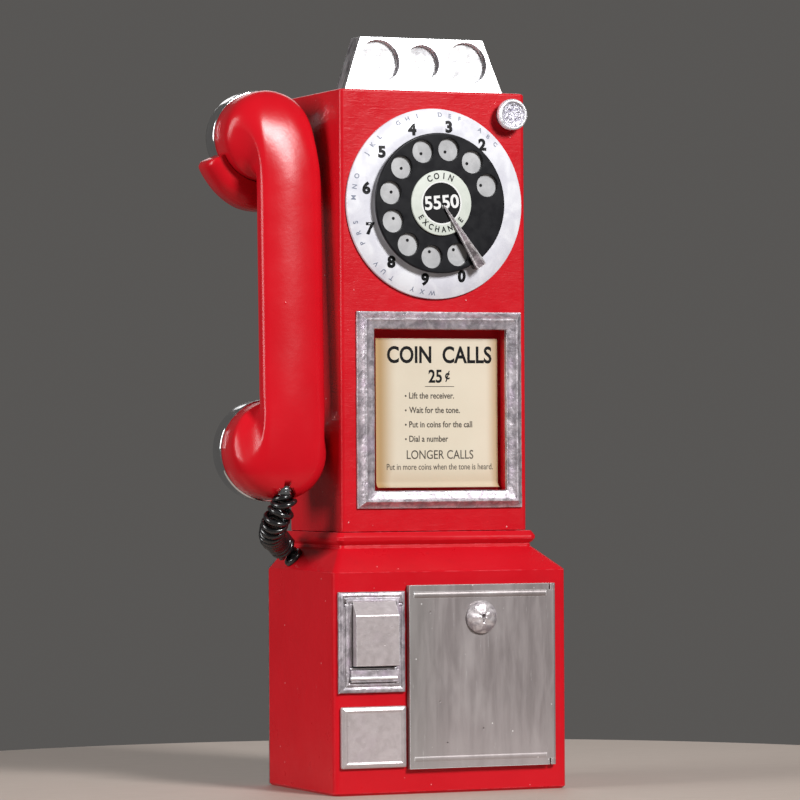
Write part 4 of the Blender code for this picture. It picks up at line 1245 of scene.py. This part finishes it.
def hook_cradle():
    """The cup's saddle, its outside rounded into a bowl."""
    low, high = extent("hook_cradle")
    inner = EAR_RADIUS + 1.5
    outside = [(204, 38.0), (207, 40.7), (222, 41.4), (239, 43.2), (256, 45.3), (270, 46.1), (285, 47.2),
               (298, 48.3), (307, 47.4), (320, 36.9), (334, 31.4)]
    stations = [(low.y + 9 + y, 9 - n) for y, n in arc((0, 0), 9, 180, 90, 9)]
    stations += [(high.y - 3 + y, 3 - n) for n, y in arc((0, 0), 3, 15, 90, 5)]
    rings = []
    for y, inset in stations:
        inside, rim = [], []
        for k in range(53):
            angle = 204 + 2.5 * k
            n = max(i for i, (a, _) in enumerate(outside[:-1]) if a <= angle)
            (a0, r0), (a1, r1) = outside[n], outside[n + 1]
            reach = max(r0 + (r1 - r0) * (angle - a0) / (a1 - a0) - inset, inner + 1.0)
            edge = EAR_RADIUS + 0.35 if y < 18 else inner
            c, s = cos(radians(angle)), sin(radians(angle))
            inside.append((HANDSET_X + edge * c, y, EAR_Z + edge * s))
            rim.append((HANDSET_X + reach * c, y, EAR_Z + reach * s))
        rings.append(inside + rim[::-1])
    stand_for(lofted(rings, smooth=40), "hook_cradle", "handset_gloss")


# Cord

COIL_RADIUS = 6.8
CORD_ROUTE = [
    (-97.5, -21, 184.2), (-97.5, -21, 180.6), (-97.5, -21, 177), (-100.5, -17, 169.5), (-99.5, -8, 162.5),
    (-95, 3, 158), (-88, 15, 156.5), (-80.4, 24, 151.65), (-77.3, 24, 148.8), (-74.9, 24, 146.6),
]
WIRE_RADIUS = 1.8
COIL_PITCH = 4.8
COIL_STEPS = 16


def smooth_route(route, steps):
    """Catmull-Rom points through a given route."""
    spots = [Vector(p) for p in route]
    ends = [2 * spots[0] - spots[1], *spots, 2 * spots[-1] - spots[-2]]
    points = []
    for a, b, c, d in zip(ends, ends[1:], ends[2:], ends[3:]):
        for k in range(steps):
            t = k / steps
            points.append(0.5 * (2 * b + (c - a) * t + (2 * a - 5 * b + 4 * c - d) * t**2
                                 + (3 * b - a - 3 * c + d) * t**3))
    return points + [spots[-1]]


def distances(points):
    """How far along a line each of its points lies."""
    marks = [0.0]
    for a, b in zip(points, points[1:]):
        marks.append(marks[-1] + (b - a).length)
    return marks


def evenly(points, count):
    """The same line again as count points, the same distance apart."""
    marks = distances(points)
    out, k = [], 0
    for n in range(count):
        want = marks[-1] * n / (count - 1)
        while k < len(marks) - 2 and marks[k + 1] < want:
            k += 1
        out.append(points[k].lerp(points[k + 1], (want - marks[k]) / (marks[k + 1] - marks[k])))
    return out


def handset_cord():
    """The curly cord: a wire wound round the route, its coils closing in at both ends."""
    route = smooth_route(CORD_ROUTE, 24)
    count = round(distances(route)[-1] / COIL_PITCH) * COIL_STEPS
    line = evenly(route, count + 1)
    points = []
    for k, (spot, side, over) in enumerate(carried_along(line, Vector((1, 0, 0)))):
        a = 2 * pi * k / COIL_STEPS
        close = min(1.0, k / COIL_STEPS, (count - k) / COIL_STEPS)
        points.append(spot + (side * cos(a) + over * sin(a)) * COIL_RADIUS * (0.5 + 0.5 * close))
    cord = tube_through(points, WIRE_RADIUS)
    cord.name = "handset_cord_fine"
    dress(cord, "cord_rubber")
    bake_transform(cord)
    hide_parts("handset_cord")


def cord_grommet():
    """A domed rubber bush that stands square to the sloping shoulder."""
    profile = [(4.6, 3.4), (5.4, 3.3), (6.1, 2.9), (6.6, 2.3), (6.8, 1.6), (6.8, 0.3), (4.8, 0.3), (4.8, -7),
               (3.4, -7), (3.4, 1.5)]
    grommet = turned(profile, (0, 0, 0), "Z", 48)
    foot = Matrix.Translation(Vector((-72.15, 24.0, 144.0)) * MM)
    grommet.data.transform(foot @ Matrix.Rotation(radians(-47.6), 4, "Y"))
    stand_for(grommet, "cord_grommet", "cord_rubber")


# Works behind the casing

def gongs():
    outer = [(2, 33), (5, 32.95), (8, 32.5), (11.5, 31.4), (15, 29.6), (17.6, 27), (19.2, 23.5), (20, 20),
             (20, 19)]
    inner = [(18.9, 19), (18.2, 22.8), (16.6, 26.2), (14.2, 28.6), (10.8, 30.4), (7.6, 31.3), (2, 31.7)]
    for node in ("gong_left", "gong_right"):
        stand_for(turned(outer + inner, axle(node), sides=72), node, "brass")


def backplate_screws():
    """Countersunk screws with a slot across each head."""
    for number in range(1, 5):
        node = f"backplate_screw_{number}"
        low, high = extent(node)
        spot = axle(node)
        profile = [(0, low.y), (1.1, low.y), (1.3, low.y + 0.4), (1.3, 54.3), (2.9, high.y - 0.15),
                   (2.7, high.y), (0, high.y)]
        slot = block((-4, 4), (high.y - 0.8, high.y + 1), (-0.4, 0.4))
        slot.data.transform(Matrix.Translation(spot * MM) @ Matrix.Rotation(0.5 + spot.x, 4, "Y"))
        stand_for(cut(turned(profile, spot, sides=32), slot), node, "bright_steel")


# CAD pieces that keep their shape

KEPT = {
    "column_red": ["upper_housing"],
    "base_red": ["vault_housing"],
    "vault_metal": ["door_pivot_upper", "door_pivot_lower"],
    "frame_silver": ["return_tray", "flap_pin"],
    "steel": ["backplate", "coin_chute", "drop_chute", "coin_diverter", "cash_box", "dial_case",
              "plunger_bracket", "hook_arm", "hook_bracket"],
    "bright_steel": ["cash_box_handle", "dial_shaft", "lock_cam", "hook_pin", "receiver_capsule",
                     "transmitter_capsule", "clapper", "capacitor"],
    "brass": ["coin_hopper", "coin_vane"],
    "copper": ["coin_relay_coil", "ringer_coils"],
    "bakelite": ["hook_switch", "terminal_block"],
    "grey_paint": ["network_block"],
}
EDGE_WIDTH = {"upper_housing": 0.5, "vault_housing": 0.5, "backplate": 0.4, "cash_box": 0.3}


def smooth_all():
    """A node group that shades every face smooth."""
    group = bpy.data.node_groups.new("smooth_all", "GeometryNodeTree")
    for direction in ("INPUT", "OUTPUT"):
        group.interface.new_socket("Geometry", in_out=direction, socket_type="NodeSocketGeometry")
    source = group.nodes.new("NodeGroupInput")
    shade = group.nodes.new("GeometryNodeSetShadeSmooth")
    target = group.nodes.new("NodeGroupOutput")
    group.links.new(source.outputs[0], shade.inputs[0])
    group.links.new(shade.outputs[0], target.inputs[0])
    return group


def keep_cad_pieces():
    """Weld, simplify and soften the CAD pieces that stay."""
    smoother = smooth_all()
    for look, nodes in KEPT.items():
        for node in nodes:
            obj = frame["nodes"][node]
            dress(obj, look)
            joined = obj.modifiers.new("joined", "WELD")
            joined.merge_threshold = 0.02 * MM
            flats = obj.modifiers.new("flats", "DECIMATE")
            flats.decimate_type = "DISSOLVE"
            flats.angle_limit = radians(0.4)
            smooth = obj.modifiers.new("smooth", "NODES")
            smooth.node_group = smoother
            soften(obj, EDGE_WIDTH.get(node, 0.25), 2, 38)


for step in (
    camera, lights, floor, handset_cord, keep_cad_pieces, number_plate, numerals, finger_wheel, dial_label,
    finger_stop, dial_works, coin_head, return_plunger, plunger_spring, card_frame, instruction_card,
    return_bezel, return_flap, access_plate, vault_door, vault_lock, handset_shell, handset_caps,
    cord_ferrule, hook_cradle, cord_grommet, gongs, backplate_screws,
):
    step()
